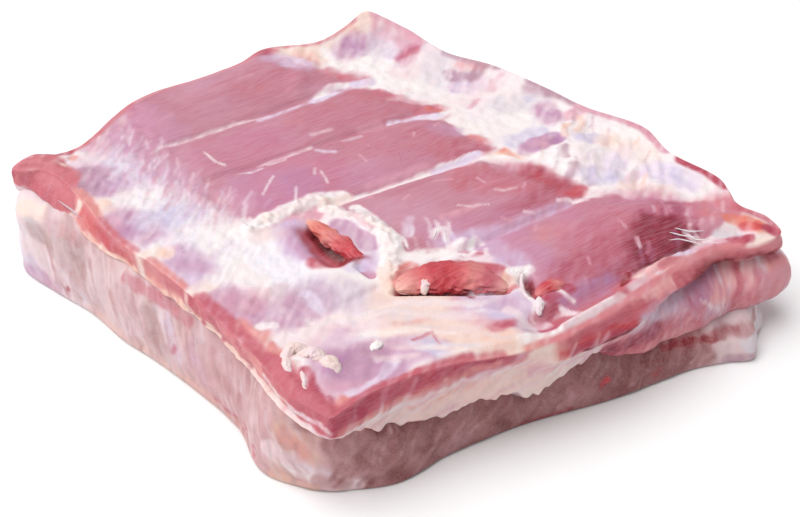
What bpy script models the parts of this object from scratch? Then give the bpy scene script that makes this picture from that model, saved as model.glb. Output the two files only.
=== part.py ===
# Raw boneless pork belly lying on its skin side, rib side up.
# A thin rib sheet with a cut red edge lies over a thick slab of flesh and fat. Along the front the
# sheet ends in a fat curtain and a rolled lip, and at the thick corner the slab swells out as a lobe
# over a flat foot of skin fat.
#
# Plan: +X runs along the front cut, +Y from the front cut to the back cut, +Z is up.
# Lengths in the tables are millimetres. A place on the outline is a number that counts corners:
# 0 near corner, 1 thick corner, 2 back corner, 3 left corner, 4 the near corner again.
import math

import bmesh
import bpy
from mathutils import Vector, noise

MM = 0.001
NODE = "pork_belly"

# Cells of the top's grid along the front and towards the back
ACROSS = 46
ALONG = 46

# Top edge of the rib sheet, (x, y, z), one row of points for each side, corner first
RIM = (
    # front, near corner to thick corner
    ((-99, -103, 45), (-80, -101, 46), (-62, -102, 46), (-42, -106, 46), (-22, -113, 45),
     (0, -117, 45), (24, -117, 45), (50, -114, 45), (72, -111, 45), (96, -111, 44), (112, -117, 43)),
    # thick end, thick corner to back corner
    ((127, -121, 44), (128, -108, 45), (124, -94, 45), (130, -76, 46), (126, -48, 46),
     (130, -25, 46), (119, 4, 46), (115, 26, 46), (107, 57, 46), (95, 82, 46), (92, 108, 47)),
    # back, back corner to left corner
    ((81, 129, 53), (66, 127, 48), (50, 126, 46), (25, 136, 46), (8, 132, 46), (-16, 132, 46),
     (-40, 134, 46), (-56, 131, 46), (-88, 115, 46), (-100, 115, 46), (-112, 121, 46)),
    # thin end, left corner to near corner
    ((-124, 117, 46), (-110, 104, 47), (-108, 78, 46), (-110, 46, 46), (-105, 14, 46),
     (-103, -20, 46), (-103, -60, 46), (-104, -86, 46)),
)

# Outline of the skin side on the table, (x, y)
FOOT = (
    ((-95, -99), (-72, -110), (-47, -109), (-10, -113), (31, -123), (68, -128), (86, -134), (97, -139),
     (106, -131)),
    ((118, -124), (122, -96), (124, -50), (116, 5), (102, 55)),
    ((82, 123), (20, 126), (-60, 124)),
    ((-127, 112), (-130, 100), (-125, 78), (-120, 57), (-118, 34), (-112, 5), (-107, -44),
     (-113, -72), (-104, -90)),
)

# Side profile: each size is keyed by its place on the outline.
# The cut red band of the sheet comes first, then a middle layer that is a lip of fat at the thin end, a
# hanging curtain of fat along the front and a lobe of flesh at the thick corner, then a fold, then the slab.
BAND_DEPTH = ((0, 8), (0.45, 8), (0.6, 7), (0.9, 7), (2, 8), (3, 7), (3.2, 9))
BAND_OUT = ((0, 5), (0.2, 6), (0.36, 1), (0.45, 6), (0.6, 9), (0.75, 8), (0.88, 3), (1, 3), (2, 4), (3, 3),
            (3.1, 11), (3.2, 7), (3.38, 2), (3.5, 4), (3.6, 1), (3.9, 1))
UNDERCUT = ((0.57, 0), (0.72, 6), (0.9, 6), (1, 4), (1.3, 3), (2, 0))
MIDDLE_OUT = ((0, 4), (0.15, 5), (0.36, 3), (0.55, 3), (0.68, 9), (0.8, 14), (0.92, 11), (1, 8), (1.15, 7),
              (1.5, 4), (3, 3), (3.1, 11), (3.22, 7), (3.4, 2.5), (3.5, 4), (3.6, 2))
FOLD_HEIGHT = ((0, 36), (0.06, 32), (0.14, 28), (0.22, 25), (0.3, 26), (0.4, 19), (0.52, 24), (0.66, 13),
               (1, 13), (1.25, 14), (1.7, 24), (2, 34), (3, 35))
FOLD_DEPTH = ((0, 9), (0.15, 4), (0.3, 2.5), (0.75, 3), (0.9, 5), (1, 5), (1.3, 3), (3, 4), (3.5, 3),
              (3.8, 4))
# How far the slab's shoulder, just under the fold, stands inside the foot
LEAN = ((0, 6), (0.15, 4), (0.35, 2), (0.8, 2), (0.87, 5), (1, 3), (2.9, 3), (3, 1), (3.15, 5), (3.6, 5))

# Rings of the side, from the rim down
RIM_ROUND = 1.3
BAND_RING = (0.55, 0.6)
MIDDLE_RINGS = ((0.05, 0.0), (0.15, 0.2), (0.36, 0.8), (0.62, 1.0))
LIP_RING = (0.9, 0.6)
SHOULDER_DROP = 2.0
SLAB_BULGE = 0.8
SLAB_RINGS = ((0.6, 0.35), (0.3, 0.0))
FOOT_RINGS = ((1.4, 0.3), (0.0, -0.7))

# Top of the sheet: panels of rib muscle between membrane seams
PANEL_LEFT = -62
PANEL_RIGHT = ((134, 25), (110, 37), (89, 50), (70, 52), (47, 64), (20, 63), (4, 60), (-12, 60), (-30, 70),
               (-46, 76), (-62, 84), (-76, 106), (-90, 120))
SEAMS = ((91, -2), (54, -5), (9, -7), (-50, 0))
SEAM_DEPTH = 1.4
SEAM_WIDTH = 3.5
SEAM_RUN = 60
PANEL_CROWN = 1.6
PANEL_HALF = 18
PANEL_FADE = 14

# Ridge of fat that curls round the first rib slit, (x, y) along its crest
RIDGE = ((-60, 15), (-40, 18), (-22, 18), (-13, 11), (-17, -6), (-15, -18), (-20, -34), (-34, -50))
RIDGE_HEIGHT = 2.6
RIDGE_WIDTH = 6

# Hollows cut where the ribs were drawn: start, end, half width, depth
SLITS = (
    ((-38, 0), (-44, -24), 7, 6.5),
    ((-34, -57), (-8, -74), 4, 5.5),
    ((10, -92), (14, -82), 3, 5),
)
# Rolls of red flesh beside the hollows: start, end, half width, height
FLESH_ROLLS = (
    ((-36, 4), (-33, -28), 5, 3.5),
    ((-24, -54), (4, -74), 10, 4),
    ((12, -92), (24, -92), 4, 2),
)
# Lumps of fat and flesh on the sheet
LUMPS = (
    ((-90, -67), (-87, -80), 5, 2.4),
    ((-66, -80), (-60, -80), 4, 1.6),
    ((-112, 112), (-118, 116), 8, 2.5),
    ((105, -100), (116, -108), 8, 1.8),
    ((100, 8), (92, -20), 10, 1.2),
)
# Trough between the last panel and the rolled front lip
TROUGHS = (((2, -108), (60, -106), 6, 3), ((60, -106), (112, -112), 5, 2.6))

# Unevenness of soft meat: height, length
TOP_WAVE = (0.5, 34)
SIDE_WAVE = (0.8, 22)
# Share of the top beside its rim over which the relief dies away
RIM_FADE = 0.06
# Share of a side to each side of a place that gives the outline's direction there
TURN_STEP = 0.04

SHARP_EDGE = math.radians(50)

FLESH_COLOUR = (0.52, 0.22, 0.25, 1.0)
FLESH_ROUGHNESS = 0.45


def clear_scene():
    for obj in list(bpy.data.objects):
        bpy.data.objects.remove(obj, do_unlink=True)


def ease(share):
    """Smooth step from 0 to 1."""
    share = min(max(share, 0.0), 1.0)
    return share * share * (3.0 - 2.0 * share)


def side_curve(points, share):
    """Point at a share of a side: a smooth curve through its points, spaced by their distances."""
    gaps = [(b - a).length for a, b in zip(points, points[1:])]
    reach = share * sum(gaps)
    index = 0
    while index < len(gaps) - 1 and reach > gaps[index]:
        reach -= gaps[index]
        index += 1
    start, end = points[index], points[index + 1]
    step = reach / gaps[index]

    def slope(at):
        if at == 0:
            return (points[1] - points[0]) / gaps[0]
        if at == len(gaps):
            return (points[-1] - points[-2]) / gaps[-1]
        return (points[at + 1] - points[at - 1]) / (gaps[at - 1] + gaps[at])

    square, cube = step * step, step * step * step
    return (
        start * (2 * cube - 3 * square + 1)
        + slope(index) * gaps[index] * (cube - 2 * square + step)
        + end * (3 * square - 2 * cube)
        + slope(index + 1) * gaps[index] * (cube - square)
    )


def outline_at(outline, place):
    """Point of a four-sided outline at a place, which counts corners from the near one."""
    place = place % 4
    side = int(place)
    points = [Vector(point) for point in outline[side]]
    points.append(Vector(outline[(side + 1) % 4][0]))
    return side_curve(points, place - side)


def size_at(keys, place):
    """Value of a keyed size at a place, eased from key to key round the outline."""
    place = place % 4
    closed = list(keys) + [(4 + keys[0][0], keys[0][1])]
    for (start, low), (end, high) in zip(closed, closed[1:]):
        if start <= place <= end:
            return low + (high - low) * ease((place - start) / (end - start))
    return keys[0][1]


def outward_at(place):
    """Unit vector that points away from the meat in plan, as the bisector at a corner."""
    along = outline_at(RIM, place + TURN_STEP) - outline_at(RIM, place - TURN_STEP)
    return Vector((along.y, -along.x)).normalized()


def near_line(point, start, end):
    """Distance in plan from a point to the line between two others."""
    start, end = Vector(start), Vector(end)
    run = end - start
    share = min(max((point - start).dot(run) / run.length_squared, 0.0), 1.0)
    return (point - start - run * share).length


def mound(distance, width):
    """1 on a line, falling smoothly to 0 at twice the width."""
    return ease(1.0 - distance / (2.0 * width))


def panel_edge(y):
    """Where the rib muscle ends towards the thick end."""
    for (high, x_high), (low, x_low) in zip(PANEL_RIGHT, PANEL_RIGHT[1:]):
        if low <= y <= high:
            return x_low + (x_high - x_low) * (y - low) / (high - low)
    return PANEL_RIGHT[0][1] if y > 0 else PANEL_RIGHT[-1][1]


def panel_relief(point):
    """Crowned rib panels and the seams between them."""
    inside = min(point.x - PANEL_LEFT, panel_edge(point.y) - point.x)
    share = ease(inside / PANEL_FADE)
    lines = [y + tilt * point.x / SEAM_RUN for y, tilt in SEAMS]
    gap = min(abs(point.y - line) for line in lines)
    crown = PANEL_CROWN * ease(gap / PANEL_HALF)
    return share * (crown - SEAM_DEPTH * mound(gap, SEAM_WIDTH / 2.0))


def top_relief(point):
    """Height of the sheet's features over its smooth surface, at a point in plan."""
    height = panel_relief(point)
    crest = min(near_line(point, a, b) for a, b in zip(RIDGE, RIDGE[1:]))
    height += RIDGE_HEIGHT * mound(crest, RIDGE_WIDTH)
    for start, end, width, depth in SLITS + TROUGHS:
        height -= depth * mound(near_line(point, start, end), width)
    for start, end, width, rise in FLESH_ROLLS + LUMPS:
        height += rise * mound(near_line(point, start, end), width)
    amount, length = TOP_WAVE
    return height + amount * noise.noise(Vector((point.x / length, point.y / length, 0.0)))


def sheet_point(u, v):
    """Point of the top at shares u along the front and v towards the back, blended from its four edges."""
    front = outline_at(RIM, u)
    back = outline_at(RIM, 3.0 - u)
    left = outline_at(RIM, 4.0 - v)
    right = outline_at(RIM, 1.0 + v)
    near, thick = Vector(RIM[0][0]), Vector(RIM[1][0])
    far, thin = Vector(RIM[2][0]), Vector(RIM[3][0])
    blend = front * (1 - v) + back * v + left * (1 - u) + right * u
    blend -= near * (1 - u) * (1 - v) + thick * u * (1 - v) + far * u * v + thin * (1 - u) * v
    edge = min(u, v, 1 - u, 1 - v)
    blend.z += top_relief(blend.xy) * ease(edge / RIM_FADE)
    return blend


def side_points(place):
    """The side's profile at a place, from just under the rim down to the table."""
    rim = outline_at(RIM, place)
    foot = outline_at(FOOT, place)
    out = outward_at(place)
    band = size_at(BAND_DEPTH, place)
    band_out = size_at(BAND_OUT, place)
    under_out = band_out - size_at(UNDERCUT, place)
    middle_out = size_at(MIDDLE_OUT, place)
    fold_z = size_at(FOLD_HEIGHT, place)
    lean = size_at(LEAN, place)
    band_z = rim.z - band
    middle = band_z - fold_z
    band_share, band_reach = BAND_RING
    lip_share, lip_round = LIP_RING
    sheet_levels = [
        (RIM_ROUND, rim.z - RIM_ROUND),
        (band_reach * band_out, rim.z - band_share * band),
        (band_out, band_z),
    ]
    for share, reach in MIDDLE_RINGS:
        sheet_levels.append((under_out + reach * (middle_out - under_out), band_z - share * middle))
    sheet_levels.append((middle_out - lip_round, band_z - lip_share * middle))
    sheet_levels.append((middle_out - size_at(FOLD_DEPTH, place), fold_z))
    slab_levels = [(-lean, fold_z - SHOULDER_DROP)]
    for share, reach in SLAB_RINGS:
        slab_levels.append((SLAB_BULGE - reach * lean, share * fold_z))
    for z, reach in FOOT_RINGS:
        slab_levels.append((reach, z))
    amount, length = SIDE_WAVE
    points = []
    for base, levels in ((rim.xy, sheet_levels), (foot, slab_levels)):
        for reach, z in levels:
            plan = base + out * reach
            if z > 0:
                plan += out * amount * noise.noise(Vector((plan.x, plan.y, z)) / length)
            points.append(Vector((plan.x, plan.y, z)))
    return points


def boundary_place(u, v):
    """Place on the outline of a point on the edge of the top."""
    if v == 0:
        return u
    if u == 1:
        return 1.0 + v
    if v == 1:
        return 3.0 - u
    return 4.0 - v


def centre_on_base(shape):
    """Brings the middle of the bounding box's underside to the origin."""
    xs = [vert.co.x for vert in shape.verts]
    ys = [vert.co.y for vert in shape.verts]
    zs = [vert.co.z for vert in shape.verts]
    middle = Vector(((min(xs) + max(xs)) / 2, (min(ys) + max(ys)) / 2, min(zs)))
    bmesh.ops.translate(shape, vec=-middle, verts=shape.verts)


def build_belly():
    mesh = bpy.data.meshes.new(NODE)
    shape = bmesh.new()
    bmesh.ops.create_grid(shape, x_segments=ACROSS, y_segments=ALONG, size=0.5)
    places = {}
    for vert in shape.verts:
        u = round((vert.co.x + 0.5) * ACROSS) / ACROSS
        v = round((vert.co.y + 0.5) * ALONG) / ALONG
        if vert.is_boundary:
            places[vert] = boundary_place(u, v)
        vert.co = sheet_point(u, v)

    edges = [edge for edge in shape.edges if edge.is_boundary]
    profiles = {place: side_points(place) for place in places.values()}
    levels = len(next(iter(profiles.values())))
    order = sorted(places, key=places.get)
    for level in range(levels):
        made = bmesh.ops.extrude_edge_only(shape, edges=edges)["geom"]
        edges = [item for item in made if isinstance(item, bmesh.types.BMEdge) and item.is_boundary]
        new = {}
        for old in order:
            for edge in old.link_edges:
                other = edge.other_vert(old)
                if other.is_boundary and other not in places:
                    new[other] = places[old]
        for vert, place in new.items():
            vert.co = profiles[place][level]
        places = new
        order = sorted(places, key=places.get)
    bmesh.ops.contextual_create(shape, geom=order)
    bmesh.ops.recalc_face_normals(shape, faces=shape.faces)
    centre_on_base(shape)
    bmesh.ops.triangulate(shape, faces=shape.faces)
    bmesh.ops.scale(shape, vec=(MM, MM, MM), verts=shape.verts)
    shape.to_mesh(mesh)
    shape.free()
    mesh.shade_smooth()
    mesh.set_sharp_from_angle(angle=SHARP_EDGE)
    belly = bpy.data.objects.new(NODE, mesh)
    bpy.context.scene.collection.objects.link(belly)
    return belly


def flesh_material():
    material = bpy.data.materials.new("raw_flesh")
    material.use_nodes = True
    shader = material.node_tree.nodes["Principled BSDF"]
    shader.inputs["Base Color"].default_value = FLESH_COLOUR
    shader.inputs["Roughness"].default_value = FLESH_ROUGHNESS
    shader.inputs["Metallic"].default_value = 0.0
    return material


clear_scene()
build_belly().data.materials.append(flesh_material())
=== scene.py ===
# Raw boneless pork belly on a white table: a thin rib sheet lying over a thick slab.
# Plan tables are in millimetres: x along the front cut, y from the front cut to the back cut.
# A place on the outline counts corners: 0 near, 1 thick, 2 back, 3 left, 4 near again.
import math
import random

import bpy
import numpy as np
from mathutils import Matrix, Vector, noise


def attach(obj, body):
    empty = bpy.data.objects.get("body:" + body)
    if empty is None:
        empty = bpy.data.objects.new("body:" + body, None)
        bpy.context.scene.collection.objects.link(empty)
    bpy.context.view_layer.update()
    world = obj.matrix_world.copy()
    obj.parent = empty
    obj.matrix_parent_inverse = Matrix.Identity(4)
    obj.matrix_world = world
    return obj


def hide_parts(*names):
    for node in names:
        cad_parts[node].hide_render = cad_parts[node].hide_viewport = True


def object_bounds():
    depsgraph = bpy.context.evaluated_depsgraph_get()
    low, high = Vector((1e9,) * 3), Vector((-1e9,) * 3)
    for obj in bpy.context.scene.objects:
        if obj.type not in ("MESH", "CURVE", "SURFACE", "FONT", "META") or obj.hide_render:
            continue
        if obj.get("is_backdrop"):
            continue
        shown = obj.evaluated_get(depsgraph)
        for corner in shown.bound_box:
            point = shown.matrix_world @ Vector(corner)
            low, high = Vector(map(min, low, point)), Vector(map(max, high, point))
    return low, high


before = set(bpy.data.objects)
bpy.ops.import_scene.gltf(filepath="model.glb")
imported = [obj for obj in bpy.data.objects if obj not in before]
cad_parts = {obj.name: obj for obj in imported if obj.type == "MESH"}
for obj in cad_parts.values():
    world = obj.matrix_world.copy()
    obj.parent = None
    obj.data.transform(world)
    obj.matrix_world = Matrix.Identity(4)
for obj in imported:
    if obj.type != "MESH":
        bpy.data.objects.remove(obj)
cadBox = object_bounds()
mm = 0.001

# Shape
shape = {
    # top edge of the rib sheet, (x, y, z), corner first
    "rim": (
        ((-99, -103, 45), (-80, -101, 46), (-62, -102, 46), (-42, -106, 46), (-22, -113, 45),
         (0, -117, 45), (24, -117, 45), (50, -114, 45), (72, -111, 45), (96, -111, 44), (112, -117, 43)),
        ((127, -121, 44), (128, -108, 45), (124, -94, 45), (130, -76, 46), (126, -48, 46),
         (130, -25, 46), (119, 4, 46), (115, 26, 46), (107, 57, 46), (95, 82, 46), (92, 108, 47)),
        ((81, 129, 53), (66, 127, 48), (50, 126, 46), (25, 136, 46), (8, 132, 46), (-16, 132, 46),
         (-40, 134, 46), (-56, 131, 46), (-88, 115, 46), (-100, 115, 46), (-112, 121, 46)),
        ((-124, 117, 46), (-110, 104, 47), (-108, 78, 46), (-110, 46, 46), (-105, 14, 46),
         (-103, -20, 46), (-103, -60, 46), (-104, -86, 46)),
    ),
    # skin side on the table, (x, y)
    "foot": (
        ((-95, -99), (-72, -110), (-47, -109), (-10, -113), (31, -123), (68, -128), (86, -134), (97, -139),
         (106, -131)),
        ((118, -124), (122, -96), (124, -50), (116, 5), (102, 55)),
        ((82, 123), (20, 126), (-60, 124)),
        ((-127, 112), (-130, 100), (-125, 78), (-120, 57), (-118, 34), (-112, 5), (-107, -44),
         (-113, -72), (-104, -90)),
    ),
    # side profile, each size keyed by place
    "rimRound": ((0, 2), (0.3, 2.4), (0.45, 5), (0.7, 6), (0.92, 5), (1, 3.5), (1.3, 2), (2.8, 2),
                 (3.05, 4), (3.3, 3), (3.6, 3.4), (3.9, 2.4)),
    "bandDepth": ((0, 8), (0.4, 8), (0.52, 8.5), (0.62, 7.5), (0.7, 5.5), (0.8, 6), (0.9, 7), (2, 8),
                  (3, 7), (3.2, 9), (3.5, 9.5), (3.8, 9)),
    "bandOut": ((0, 5), (0.2, 6), (0.36, 1), (0.45, 6), (0.6, 9), (0.75, 8), (0.88, 3), (1, 3), (2, 4),
                (3, 3), (3.1, 11), (3.2, 7), (3.38, 2), (3.5, 4), (3.6, 1), (3.9, 1)),
    "undercut": ((0.57, 0), (0.72, 6), (0.9, 6), (1, 4), (1.3, 3), (2, 0)),
    "middleOut": ((0, 4), (0.15, 5), (0.36, 3), (0.55, 3), (0.68, 9), (0.8, 14), (0.92, 11), (1, 8),
                  (1.15, 7), (1.5, 4), (3, 3), (3.1, 11), (3.22, 7), (3.4, 2.5), (3.5, 4), (3.6, 2)),
    "foldHeight": ((0, 36), (0.05, 32), (0.12, 26), (0.16, 22.5), (0.23, 20.5), (0.26, 22), (0.31, 24.5),
                   (0.4, 19.5), (0.52, 24), (0.66, 13), (1, 13), (1.25, 14), (1.7, 24), (2, 34), (3, 35)),
    "foldDepth": ((0, 9), (0.15, 4), (0.3, 2.5), (0.75, 3), (0.9, 5), (1, 5), (1.3, 3), (3, 4), (3.5, 3),
                  (3.8, 4)),
    "slabLean": ((0, 6), (0.15, 4), (0.35, 2), (0.8, 2), (0.87, 5), (1, 3), (2.9, 3), (3, 1), (3.15, 5),
                 (3.6, 5)),
    "ragged": ((0, 0.6), (0.05, 2.4), (0.55, 2.6), (0.64, 0.8), (1, 0.5), (2, 1.2), (3, 0.8), (3.9, 0.5)),
    # the torn lower edge: height, then share and fineness of the small tears on the long ones
    "tear": (1.6, 0.5, 2.7), "tearLength": 8,
    # points of the profile, as shares of the sizes above
    "roundPoint": (0.5, 0.22),          # out and down, in roundings
    "bandPoint": (0.62, 0.75, 0.5),     # out in band reaches, or at least in roundings, and down in bands
    "hangPoints": ((0.05, 0.0), (0.15, 0.2), (0.36, 0.8), (0.62, 1.0)),    # down to the fold and out
    "hangEnd": (0.9, 0.6),              # down, and how far it has come in, in mm
    "slabPoints": (2, 0.6, 0.3, 1.4),   # mm under the fold, two shares of its height, height of the heel
    "slabOut": (0.8, 0.35, 0.3, -0.7),  # how far its side stands out, share of the lean, heel, foot
    "sideWave": (0.8, 22),
    "inset": 1.3,              # how far the sides stay inside the solid's box
    "sideLumps": (0.55, 9),    # height and length of the small lumps on the cut sides
    "slabStreaks": (0.5, 5, -56, 4.0),    # and of the streaks of the slab, with slant and stretch
    "sheetRoughIn": 1.5,       # key points under the rim over which the lumps come in
    "slabRoughIn": (4, 0.8),   # mm above the table and key points under the fold
    "slabTuck": (4, 5),        # how far the top of the slab goes in and up under the sheet
    "cornerCells": 10,         # how far a corner of the outline is rounded, in cells
    "cornerPasses": (5, 30, 30, 44),
    "topCells": 256,           # cells of the top along each side
    "sheetRings": 28,          # rings from the rim down to the fold
    "slabRings": 44,           # rings from the fold down to the table
}

turnStep = 0.04    # share of a side that gives the outline's direction
tearSeed = 40      # where the noise of the small tears is read
foldKey = 9        # the profile point at the fold, where the sheet ends and the slab starts


def smooth(share):
    share = np.clip(share, 0.0, 1.0)
    return share * share * (3.0 - 2.0 * share)


# Smooth way from one key to the next, step 0..1 of the gap between them
def easeBetween(a, slopeA, b, slopeB, gap, step):
    square, cube = step ** 2, step ** 3
    return (a * (2 * cube - 3 * square + 1) + slopeA * gap * (cube - 2 * square + step)
            + b * (3 * square - 2 * cube) + slopeB * gap * (cube - square))


def sideCurve(points, share):
    gaps = [(b - a).length for a, b in zip(points, points[1:])]
    reach = share * sum(gaps)
    index = 0
    while index < len(gaps) - 1 and reach > gaps[index]:
        reach -= gaps[index]
        index += 1
    step = reach / gaps[index]

    def slope(at):
        if at == 0:
            return (points[1] - points[0]) / gaps[0]
        if at == len(gaps):
            return (points[-1] - points[-2]) / gaps[-1]
        return (points[at + 1] - points[at - 1]) / (gaps[at - 1] + gaps[at])

    return easeBetween(points[index], slope(index), points[index + 1], slope(index + 1), gaps[index], step)


sidesOf = {}
for outlineName in ("rim", "foot"):
    outline = [[Vector(p) for p in side] for side in shape[outlineName]]
    sidesOf[outlineName] = [side + [outline[(i + 1) % 4][0]] for i, side in enumerate(outline)]


def outlineAt(name, place):
    place = place % 4
    side = int(place)
    return sideCurve(sidesOf[name][side], place - side)


def sizeAt(name, place):
    keys = shape[name]
    place = place % 4
    closed = list(keys) + [(4 + keys[0][0], keys[0][1])]
    for (start, low), (end, high) in zip(closed, closed[1:]):
        if start <= place <= end:
            return low + (high - low) * float(smooth((place - start) / (end - start)))
    return keys[0][1]


def outwardAt(place):
    along = outlineAt("rim", place + turnStep) - outlineAt("rim", place - turnStep)
    return Vector((along.y, -along.x)).normalized()


# Key points of the side from the rim to the table
def sideProfile(place):
    rim, foot, out = outlineAt("rim", place), outlineAt("foot", place), outwardAt(place)
    band, bandOut = sizeAt("bandDepth", place), sizeAt("bandOut", place)
    underOut = bandOut - sizeAt("undercut", place)
    middleOut = sizeAt("middleOut", place)
    tearHeight, fineShare, fineness = shape["tear"]
    longTear = noise.noise(Vector((rim.x, rim.y, 0)) / shape["tearLength"])
    fineTear = noise.noise(Vector((rim.x, rim.y, tearSeed)) * fineness / shape["tearLength"])
    tear = longTear + fineShare * fineTear
    foldZ = sizeAt("foldHeight", place) + tearHeight * tear * sizeAt("ragged", place)
    lean, roundSize = sizeAt("slabLean", place), sizeAt("rimRound", place)
    bandZ = rim.z - band
    hang = bandZ - foldZ
    (roundOut, roundDown), (reachShare, roundShare, bandDown) = shape["roundPoint"], shape["bandPoint"]
    bandReach = max(reachShare * bandOut, roundShare * roundSize)
    levels = [(roundOut * roundSize, rim.z - roundDown * roundSize), (bandReach, rim.z - bandDown * band),
              (bandOut, bandZ)]
    for down, reach in shape["hangPoints"]:
        levels.append((underOut + reach * (middleOut - underOut), bandZ - down * hang))
    down, comeIn = shape["hangEnd"]
    levels += [(middleOut - comeIn, bandZ - down * hang), (middleOut - sizeAt("foldDepth", place), foldZ)]
    underFold, upper, lower, heel = shape["slabPoints"]
    sideOut, leanShare, heelOut, footOut = shape["slabOut"]
    slab = [(-lean, foldZ - underFold), (sideOut - leanShare * lean, upper * foldZ),
            (sideOut, lower * foldZ), (heelOut, heel), (footOut, 0.0)]
    amount, length = shape["sideWave"]
    points = [rim]
    for base, rows in ((rim.xy, levels), (foot, slab)):
        for reach, z in rows:
            plan = base + out * reach
            if z > 0:
                plan += out * amount * noise.noise(Vector((plan.x, plan.y, z)) / length)
            points.append(Vector((plan.x, plan.y, z)))
    return points


# Rounds the corners of the outline, on every row of the side
def roundCorners(rows):
    total = len(rows)
    cellsFrom = np.arange(total)
    for corner, passes in enumerate(shape["cornerPasses"]):
        away = np.abs((cellsFrom - corner * total // 4 + total // 2) % total - total // 2)
        share = smooth(1.5 - away / shape["cornerCells"])[:, None, None]    # whole for half of those cells
        for _ in range(passes):
            rows = rows + share * (0.25 * (np.roll(rows, 1, 0) + np.roll(rows, -1, 0)) - 0.5 * rows)
    return rows


# Smooth curves through keys[n, k, 3], sampled evenly along each: points and key numbers
def smoothRows(keys, count, fine=8):
    n, k = keys.shape[:2]
    gaps = np.maximum(np.linalg.norm(np.diff(keys, axis=1), axis=2), 1e-6)[..., None]
    slopes = np.empty_like(keys)
    slopes[:, 0] = (keys[:, 1] - keys[:, 0]) / gaps[:, 0]
    slopes[:, -1] = (keys[:, -1] - keys[:, -2]) / gaps[:, -1]
    slopes[:, 1:-1] = (keys[:, 2:] - keys[:, :-2]) / (gaps[:, :-1] + gaps[:, 1:])
    rows, marks = [], []
    for i in range(k - 1):
        for s in np.arange(fine) / fine:
            rows.append(easeBetween(keys[:, i], slopes[:, i], keys[:, i + 1], slopes[:, i + 1],
                                    gaps[:, i], s))
            marks.append(i + s)
    rows.append(keys[:, -1])
    marks.append(k - 1.0)
    line, marks = np.stack(rows, 1), np.array(marks)
    run = np.zeros(line.shape[:2])
    run[:, 1:] = np.cumsum(np.linalg.norm(np.diff(line, axis=1), axis=2), axis=1)
    points, numbers = np.empty((n, count, 3)), np.empty((n, count))
    for j in range(n):
        want = np.linspace(0, run[j, -1], count)
        for axis in range(3):
            points[j, :, axis] = np.interp(want, run[j], line[j, :, axis])
        numbers[j] = np.interp(want, run[j], marks)
    return points, numbers


# Relief of the top
topForm = {
    "panelLeft": -62,
    # right edge of the panels, (y, x)
    "panelRight": ((-90, 120), (-76, 106), (-62, 84), (-46, 76), (-30, 70), (-12, 60), (4, 60), (20, 63),
                   (47, 64), (70, 52), (89, 50), (110, 37), (134, 25)),
    "seams": ((91, -2), (54, -5), (9, -7), (-50, 0)),    # y, and how far it rises over seamRun of x
    "seamRun": 60,
    "seamDepth": 1.4, "seamWidth": 3.5, "crown": 1.6, "panelHalf": 18, "panelFade": 14,
    "ridge": ((-60, 15), (-40, 17), (-24, 17), (-24, 6), (-18, -4), (-15, -20), (-20, -34), (-34, -54)),
    "ridgeHeight": 1.9, "ridgeWidth": 3.4, "ridgeLumps": 1.0, "ridgeCrumb": 2.6, "ridgeWobble": (3.4, 6),
    # half width, height, points
    "hollows": ((5, -5.5, (-39, -2), (-42, -14), (-42, -23)),
                (2.2, -4.5, (-34, -57), (-22, -66), (-10, -75), (2, -82)),
                (2.4, -4.5, (10, -92), (14, -82)), (2, -3, (-37, -34), (-36, -41)),
                (3, -1.4, (2, -80), (12, -80))),
    "lumps": ((5, 2.0, (-95, -68), (-87, -81)), (4, 1.4, (-66, -80), (-60, -80)),
              (8, 2.5, (-112, 112), (-118, 116)), (8, 1.8, (105, -100), (116, -108)),
              (10, 1.2, (100, 8), (92, -20)), (5, 1.2, (-104, -70), (-101, -98)),
              (8, 1.0, (-30, -100), (-12, -108)), (3, 1.6, (-3, -52), (10, -46)),
              (4, 1.2, (20, 100), (36, 116))),
    # the trough behind the rolled lip and the folds of membrane in it
    "trough": ((5, -3.4, (0, -107), (24, -107), (48, -105), (70, -102), (96, -103), (110, -108)),
               (1.6, 1.9, (8, -114), (20, -113), (36, -112), (48, -109), (62, -107), (80, -105)),
               (1.4, 1.4, (52, -103), (64, -105), (76, -108), (95, -109)),
               (3.2, 1.6, (-12, -118), (20, -119), (50, -117), (74, -113), (98, -113))),
    # height, length, slant in degrees and the region it fades out from
    "wrinkles": (1.1, 8, 42, ((72, 2), (118, 6), (122, -62), (104, -62), (84, -46), (76, -28))),
    "streaks": (0.28, 3.2, 40, ((-108, 112), (-66, 116), (-58, 20), (-50, -60), (-100, -60))),
    "foldSharpness": 2.4, "foldStretch": 2.6, "foldFade": 12,
    "wave": (0.5, 34), "fatLumps": (0.3, 4.5),    # height and length
    "rimFade": 0.026,    # share of the width over which the relief comes in from the rim
}


def nearLine(x, y, a, b):
    dx, dy = b[0] - a[0], b[1] - a[1]
    share = np.clip(((x - a[0]) * dx + (y - a[1]) * dy) / (dx * dx + dy * dy), 0, 1)
    return np.hypot(x - a[0] - share * dx, y - a[1] - share * dy)


def nearPath(x, y, path):
    if len(path) == 1:
        return np.hypot(x - path[0][0], y - path[0][1])
    return np.min([nearLine(x, y, a, b) for a, b in zip(path, path[1:])], axis=0)


def mound(distance, width):
    return smooth(1.0 - distance / (2.0 * width))


# Soft noise, about -0.5 to 0.5, at many points
def noiseAt(x, y, z, length, seed=0.0):
    points = np.stack([x / length + seed, y / length - seed, z / length], 1)
    return np.array([noise.noise(Vector(p)) for p in points.tolist()])


# The same, drawn out along a slant in plan
def streakAt(x, y, length, slant, seed, stretch=6.0):
    c, s = math.cos(math.radians(slant)), math.sin(math.radians(slant))
    return noiseAt((x * c + y * s) / stretch, y * c - x * s, 0 * x, length, seed)


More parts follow.
